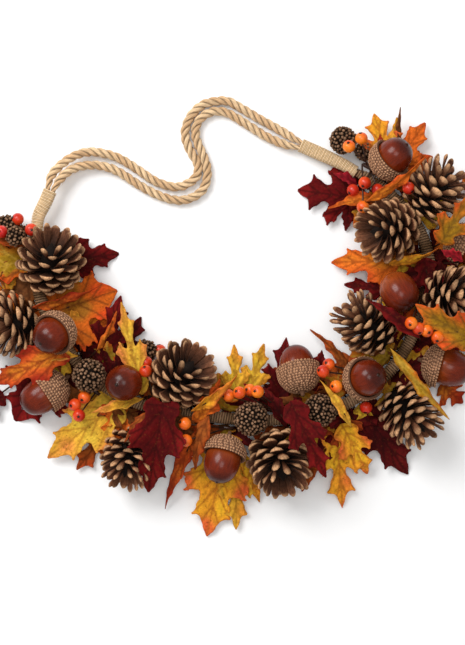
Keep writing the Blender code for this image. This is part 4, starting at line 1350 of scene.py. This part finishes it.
    @staticmethod
    def close(shape: Shape, at: np.ndarray, places: np.ndarray, paint: np.ndarray,
              faces: list[tuple[int, ...]], seed: int) -> None:
        """Give the sheet its thickness and add it to the spray.

        Args:
            shape: Shape to add to.
            at: Points on the flat cloth, for the grain.
            places: Points of its face.
            paint: Their colours.
            faces: Triangles of its face.
            seed: Shift of the grain.
        """
        normal = np.zeros_like(places)
        tri = np.array(faces)
        cross = np.cross(places[tri[:, 1]] - places[tri[:, 0]], places[tri[:, 2]] - places[tri[:, 0]])
        for k in range(3):
            np.add.at(normal, tri[:, k], cross)
        normal = unit(normal)
        n = len(places)
        used = {(a, b) for f in faces for a, b in zip(f, f[1:] + f[:1])}
        shell = faces + [tuple(n + k for k in reversed(f)) for f in faces]
        shell += [(b, a, a + n, b + n) for a, b in used if (b, a) not in used]
        grain = np.column_stack([at[:, 0], at[:, 1] * 0.6, np.full(n, seed * 13.0)])
        below = places - normal * CLOTH_THICKNESS
        below[:, 2] = np.maximum(below[:, 2], FLOOR_GAP)
        # The underside takes the face's paint darkened to 0.8, painted shade on the back of the cloth.
        shape.add(np.vstack([places, below]), shell, np.vstack([paint, paint * 0.8]),
                  np.vstack([grain, grain]))


def segment_gap(at: np.ndarray, lines: list[np.ndarray]) -> np.ndarray:
    """Find the distance from each flat point to the nearest of some polylines."""
    best = np.full(len(at), 1e9)
    for line in lines:
        for a, b in zip(line, line[1:]):
            d = b - a
            t = np.clip(((at - a) @ d) / max(float(d @ d), 1e-9), 0, 1)
            best = np.minimum(best, np.linalg.norm(at - a - t[:, None] * d, axis=1))
    return best


@dataclass(frozen=True)
class LeafSpray:
    """Leaves whose stems run to one spine wire under the core."""

    node: str
    lane: float
    leaves: tuple[Leaf, ...]
    bed_spacing: float = 14.0
    bed_reach: tuple[float, float] = (36.0, 50.0)

    def bed(self) -> list[Leaf]:
        """Low leaves on both sides of the core that fill the gaps between the others."""
        rng = random.Random(self.node + " bed")
        stations = [CORE_LINE.nearest(np.array(leaf.base)) for leaf in self.leaves]
        low = max(min(stations) - 4, 28)
        high = min(max(stations) + 4, CORE_LINE.run[-1] - 45)
        out = []
        for at in np.arange(low, high, self.bed_spacing):
            for side in (-1, 1):
                base = CORE_LINE.beside(at, side * 7, rng.uniform(4, 11))
                tip = CORE_LINE.beside(at + rng.uniform(-15, 15),
                                       side * rng.uniform(*self.bed_reach), rng.uniform(2, 13))
                out.append(Leaf(rng.choice((Cut.MAPLE, Cut.LOBED)), tuple(base), tuple(tip),
                                rng.uniform(38, 50), rng.uniform(-12, 12), rng.uniform(2, 6),
                                rng.choice(BED_HUES)))
        return out

    def build(self) -> None:
        """Make the spine, the stems and the leaves."""
        shape = Shape()
        leaves = list(self.leaves) + self.bed()
        stations = []
        for leaf in leaves:
            station = CORE_LINE.nearest(np.array(leaf.base))
            step = -2.1 if station > CORE_LINE.run[-1] - 40 else 2.1
            while any(abs(station - other) < 2 for other in stations):
                station += step
            stations.append(station)
        low, high = min(stations) - 6, max(stations) + 6
        spine = np.array([CORE_LINE.beside(s, self.lane, SPINE_HEIGHT)
                          for s in np.linspace(low, high, 12)])
        add_tube(shape, spine, np.full(len(spine), SPINE_RADIUS), 8, STEM_BROWN)
        for number, (leaf, station) in enumerate(zip(leaves, stations)):
            route = self.stem(leaf, station)
            add_tube(shape, route, np.full(len(route), STEM_RADIUS), 6, STEM_BROWN)
            leaf.add_to(shape, sum(map(ord, self.node)) * 31 + number)
        shape.piece(self.node + "_cloth", LEAF_CLOTH, self.node, [self.node])

    def stem(self, leaf: Leaf, station: float) -> np.ndarray:
        """Route a stem from the blade, past the core's flank, to the spine.

        Args:
            leaf: The leaf.
            station: Distance along the core where the stem comes in.

        Returns:
            Points of the stem.
        """
        base = np.array(leaf.base, float)
        out = CORE_LINE.outward(station)
        side = 1 if (base - CORE_LINE.beside(station, 0, 16)) @ out > 0 else -1
        blade = leaf.surface(np.zeros(3), np.array([0.3, 0.12, 0.02]))
        blade[:, 2] -= 1.3
        points = [tuple(p) for p in blade]
        if base[2] > 16:
            points.append(tuple(CORE_LINE.beside(station, side * 8.6, 17)))
        if side * self.lane > 0:
            points.append(tuple(CORE_LINE.beside(station, side * 7.4, 8)))
        else:
            points.append(tuple(CORE_LINE.beside(station, side * 7, 4.6)))
            points.append(tuple(CORE_LINE.beside(station, side * 1.5, 4.2)))
        points.append(tuple(CORE_LINE.beside(station, self.lane, SPINE_HEIGHT)))
        line = np.array(points)
        line[:, 2] = np.maximum(line[:, 2], 1.0)
        return line


# ---------------------------------------------------------------- the pieces of the wreath
CONES = (
    PineCone("pine_cone_1", Aim(80, 43), 31, 62), PineCone("pine_cone_2", Aim(180, 20), 30, 64),
    PineCone("pine_cone_3", Aim(50, 38), 31, 62), PineCone("pine_cone_4", Aim(260, 35), 25, 62),
    PineCone("pine_cone_5", Aim(278, 42), 31, 62), PineCone("pine_cone_6", Aim(140, 14), 27, 66),
    PineCone("pine_cone_7", Aim(310, 22), 27, 64), PineCone("pine_cone_8", Aim(188, 32), 29, 60),
    PineCone("pine_cone_9", Aim(50, 20), 28, 64), PineCone("pine_cone_10", Aim(352, 32), 30, 62),
)
ACORNS = (
    Acorn("1", Aim(220, 50), 17, 19), Acorn("2", Aim(215, 12), 17, 22),
    Acorn("3", Aim(190, 72), 17, 19, False), Acorn("4", Aim(255, 22), 17, 21, lip=-0.32),
    Acorn("5", Aim(100, -24), 17, 21), Acorn("6", Aim(20, 60), 17, 19),
    Acorn("7", Aim(300, 30), 17.5, 20, False), Acorn("8", Aim(345, 8), 18, 21, lip=-0.40),
    Acorn("9", Aim(40, 35), 16.5, 19), Acorn("10", Aim(330, 8), 17, 20),
)
PODS = tuple(SeedPod(f"seed_pod_{n}", r) for n, r in
             enumerate((15.7, 10.5, 16, 15.6, 13, 9.5, 12, 9.5), start=1))
BERRIES = (
    BerrySpray("berries_1", (10, 9, 16), ((-192, 86, 34), (-207, 97, 16), (-220, 84, 34)),
                (0.9, 0.9, 1.0)),
    BerrySpray("berries_2", (172, 9, 16), ((-142, -72, 34), (-151, -79, 32), (-147, -89, 34)),
                (0.6, 0.8, 0.9)),
    BerrySpray("berries_3", (228, -9, 14), ((-84, -39, 30), (-84, -47, 40), (-72, -28, 10)),
                (0.8, 0.7, 0.8)),
    BerrySpray("berries_4", (300, 9, 16), ((-47, -96, 44), (-46, -112, 42)), (0.4, 0.45)),
    BerrySpray("berries_5", (348, -9, 16), ((-6, -70, 38), (4, -67, 46), (14, -65, 36),
                                            (21, -66, 47)), (0.45, 0.35, 0.3, 0.1)),
    BerrySpray("berries_6", (452, -9, 16), ((82, -47, 50), (88, -41, 38), (94, -61, 52),
                                            (124, -82, 26)), (0.8, 0.65, 0.15, 1.0)),
    BerrySpray("berries_7", (556, -9, 24), ((162, -2, 70), (169, -7, 67), (177, -9, 65),
                                            (187, -15, 63)), (0.15, 0.7, 0.3, 0.4)),
    BerrySpray("berries_8", (688, 9, 20), ((107, 164, 38), (112, 124, 22), (122, 130, 36),
                                           (135, 124, 28), (119, 172, 34), (162, 124, 48),
                                           (120, 107, 40)),
                (0.1, 0.9, 0.8, 0.95, 0.15, 0.9, 0.2)),
)
M, L, S = Cut.MAPLE, Cut.LOBED, Cut.SLIVER
SPRAYS = (
    LeafSpray("leaves_left_top", -3, (
        Leaf(M, (-202, 58, 8), (-254, 43, 5), 46, 0, 6, Hue.OLIVE),
        Leaf(S, (-196, 70, 26), (-252, 79, 14), 13, 35, 6, Hue.RUST),
        Leaf(M, (-164, 57, 4), (-111, 65, 1.6), 38, 0, 3, Hue.WINE),
        Leaf(M, (-222, 26, 1.6), (-255, 8, 1.4), 36, 0, 0, Hue.ORANGE))),
    LeafSpray("leaves_left_middle", -3, (
        Leaf(M, (-177, 7, 9), (-113, 29, 8), 84, 0, 8, Hue.AMBER),
        Leaf(S, (-195, 12, 34), (-125, 35, 24), 13, 50, 4, Hue.SCARLET),
        Leaf(L, (-129, -38, 7), (-109, 24, 14), 40, 10, 8, Hue.WINE),
        Leaf(S, (-132, -29, 26), (-112, 10, 22), 9, 30, 6, Hue.ORANGE),
        Leaf(L, (-112, -39, 4), (-90, 5, 1.6), 34, 0, 3, Hue.DARK_WINE),
        Leaf(L, (-87, -70, 26), (-108, 18, 24), 27, 0, 10, Hue.YELLOW),
        Leaf(S, (-86, -73, 27), (-137, -88, 26), 14, 20, 2, Hue.YELLOW))),
    LeafSpray("leaves_left_low", 3, (
        Leaf(M, (-160, -27, 38), (-232, -60, 20), 36, -10, 8, Hue.SCARLET),
        Leaf(S, (-147, -33, 34), (-198, -39, 36), 13, 40, 4, Hue.YELLOW),
        Leaf(M, (-179, -49, 3), (-212, -96, 1.6), 70, 0, 1, Hue.WINE),
        Leaf(L, (-223, -68, 3), (-254, -93, 1.6), 36, 0, 2, Hue.WINE))),
    LeafSpray("leaves_bottom_left", 3, (
        Leaf(M, (-113, -79, 12), (-179, -131, 7), 55, 0, 7, Hue.YELLOW),
        Leaf(L, (-118, -99, 3), (-152, -143, 1.6), 38, 0, 1, Hue.RUST),
        Leaf(M, (-67, -76, 46), (-82, -162, 26), 50, 0, 12, Hue.WINE),
        Leaf(S, (-79, -84, 48), (-104, -114, 46), 10, 30, 4, Hue.RUST))),
    LeafSpray("leaves_bottom", -3, (
        Leaf(L, (2, -78, 8), (-1, -22, 12), 28, 0, 6, Hue.GOLD),
        Leaf(L, (11, -77, 10), (28, -21, 10), 30, 0, 6, Hue.GOLD),
        Leaf(S, (-42, -85, 40), (3, -49, 44), 14, 35, 6, Hue.SUNSET),
        Leaf(S, (-33, -99, 30), (-68, -181, 4), 17, 30, 5, Hue.SCARLET),
        Leaf(S, (-24, -88, 38), (-39, -142, 30), 19, 25, 6, Hue.RUST),
        Leaf(L, (-38, -96, 28), (-14, -54, 36), 22, 15, 6, Hue.ORANGE),
        Leaf(L, (-64, -84, 22), (-34, -118, 20), 26, 0, 5, Hue.BROWN),
        Leaf(M, (-11, -125, 6), (-27, -206, 1.6), 63, 0, 4, Hue.SUNSET),
        Leaf(L, (1, -129, 4), (1, -200, 1.6), 38, 0, 2, Hue.GOLD),
        Leaf(S, (8, -125, 10), (24, -175, 5), 19, 0, 5, Hue.SUNSET))),
    LeafSpray("leaves_bottom_right", -3, (
        Leaf(L, (42, -78, 8), (49, -16, 12), 40, 0, 6, Hue.WINE),
        Leaf(S, (49, -101, 26), (25, -62, 24), 19, 20, 6, Hue.DARK_WINE),
        Leaf(L, (51, -74, 52), (85, -146, 50), 38, 0, 10, Hue.WINE),
        Leaf(S, (79, -47, 12), (83, -28, 12), 15, 0, 4, Hue.WINE))),
    LeafSpray("leaves_right_low", 3, (
        Leaf(L, (96, -98, 13), (103, -179, 2), 46, 0, 6, Hue.SUNSET),
        Leaf(L, (101, -97, 20), (127, -147, 9), 36, 0, 5, Hue.SUNSET),
        Leaf(S, (78, -125, 4), (64, -165, 1.6), 19, 0, 2, Hue.RUST),
        Leaf(S, (109, -100, 46), (78, -54, 56), 10, 20, 5, Hue.YELLOW),
        Leaf(M, (121, -83, 8), (166, -147, 1.6), 51, 0, 6, Hue.DARK_WINE),
        Leaf(S, (109, -49, 14), (71, -7, 12), 12, 25, 6, Hue.RUST))),
    LeafSpray("leaves_right_middle", -3, (
        Leaf(S, (171, -16, 66), (120, 21, 66), 16, 15, 5, Hue.WINE),
        Leaf(L, (154, 30, 8), (104, 35, 8), 27, 0, 4, Hue.WINE),
        Leaf(M, (159, 58, 12), (92, 56, 8), 42, 0, 5, Hue.ORANGE),
        Leaf(S, (140, 54, 36), (193, 68, 40), 13, 40, 5, Hue.SUNSET),
        Leaf(L, (201, 47, 28), (156, 43, 26), 30, 0, 3, Hue.DARK_WINE),
        Leaf(L, (178, 60, 30), (188, 11, 28), 32, 0, 3, Hue.WINE),
        Leaf(S, (143, -24, 60), (201, -93, 44), 14, 25, 4, Hue.OLIVE),
        Leaf(S, (162, -63, 4), (141, -49, 3), 17, 0, 1, Hue.BROWN))),
    LeafSpray("leaves_right_outer", 3, (
        Leaf(L, (192, 72, 44), (216, 117, 66), 32, 0, 6, Hue.BRONZE),
        Leaf(S, (213, 55, 48), (191, 65, 46), 14, 20, 4, Hue.CRIMSON),
        Leaf(M, (221, -18, 52), (166, 16, 69), 40, -15, 6, Hue.BRONZE),
        Leaf(L, (198, -60, 2), (219, -79, 1.6), 34, 0, 1, Hue.SCARLET),
        Leaf(M, (220, -14, 4), (255, -30, 1.6), 42, 0, 2, Hue.GOLD),
        Leaf(L, (220, 53, 4), (255, 66, 1.6), 38, 0, 2, Hue.WINE))),
    LeafSpray("leaves_right_top", 3, (
        Leaf(L, (124, 117, 4), (60, 126, 1.6), 60, 0, 2, Hue.WINE),
        Leaf(S, (112, 116, 5), (106, 86, 1.6), 17, 0, 2, Hue.WINE),
        Leaf(S, (117, 129, 16), (94, 140, 14), 12, 25, 4, Hue.CRIMSON),
        Leaf(L, (146, 148, 10), (133, 198, 8), 42, 0, 6, Hue.SUNSET),
        Leaf(S, (149, 148, 16), (155, 196, 14), 18, 0, 4, Hue.GOLD),
        Leaf(M, (151, 146, 8), (183, 191, 8), 34, 0, 5, Hue.ORANGE),
        Leaf(M, (152, 141, 3), (190, 158, 1.6), 34, 0, 2, Hue.ORANGE),
        Leaf(S, (153, 153, 20), (158, 206, 14), 7, 0, 4, Hue.BROWN),
        Leaf(S, (135, 156, 32), (136, 176, 34), 10, 15, 4, Hue.SCARLET),
        Leaf(S, (121, 111, 44), (178, 153, 60), 14, 35, 6, Hue.ORANGE),
        Leaf(S, (138, 119, 22), (88, 107, 12), 12, 15, 5, Hue.ORANGE),
        Leaf(L, (219, 127, 3), (252, 140, 1.6), 36, 0, 2, Hue.ORANGE))),
)


def main() -> None:
    """Build the wreath piece by piece, then the studio round it."""
    logging.basicConfig(level=logging.INFO, format="%(message)s")
    studio = Studio()
    studio.camera()
    for rope in (Rope("rope_outer", ROPE_OUTER), Rope("rope_inner", ROPE_INNER)):
        rope.build()
        log.info("laid %s", rope.node)
    for whipping in (Whipping("whipping_left", WHIP_LEFT), Whipping("whipping_right", WHIP_RIGHT)):
        whipping.build()
        log.info("wound %s", whipping.node)
    Core().build()
    log.info("wound the core")
    for kind, group in (("cones", CONES), ("acorns", ACORNS), ("pods", PODS),
                        ("berries", BERRIES), ("leaves", SPRAYS)):
        for item in group:
            item.build()
        log.info("made %d %s", len(group), kind)
    studio.build()


if __name__ == "__main__":
    main()
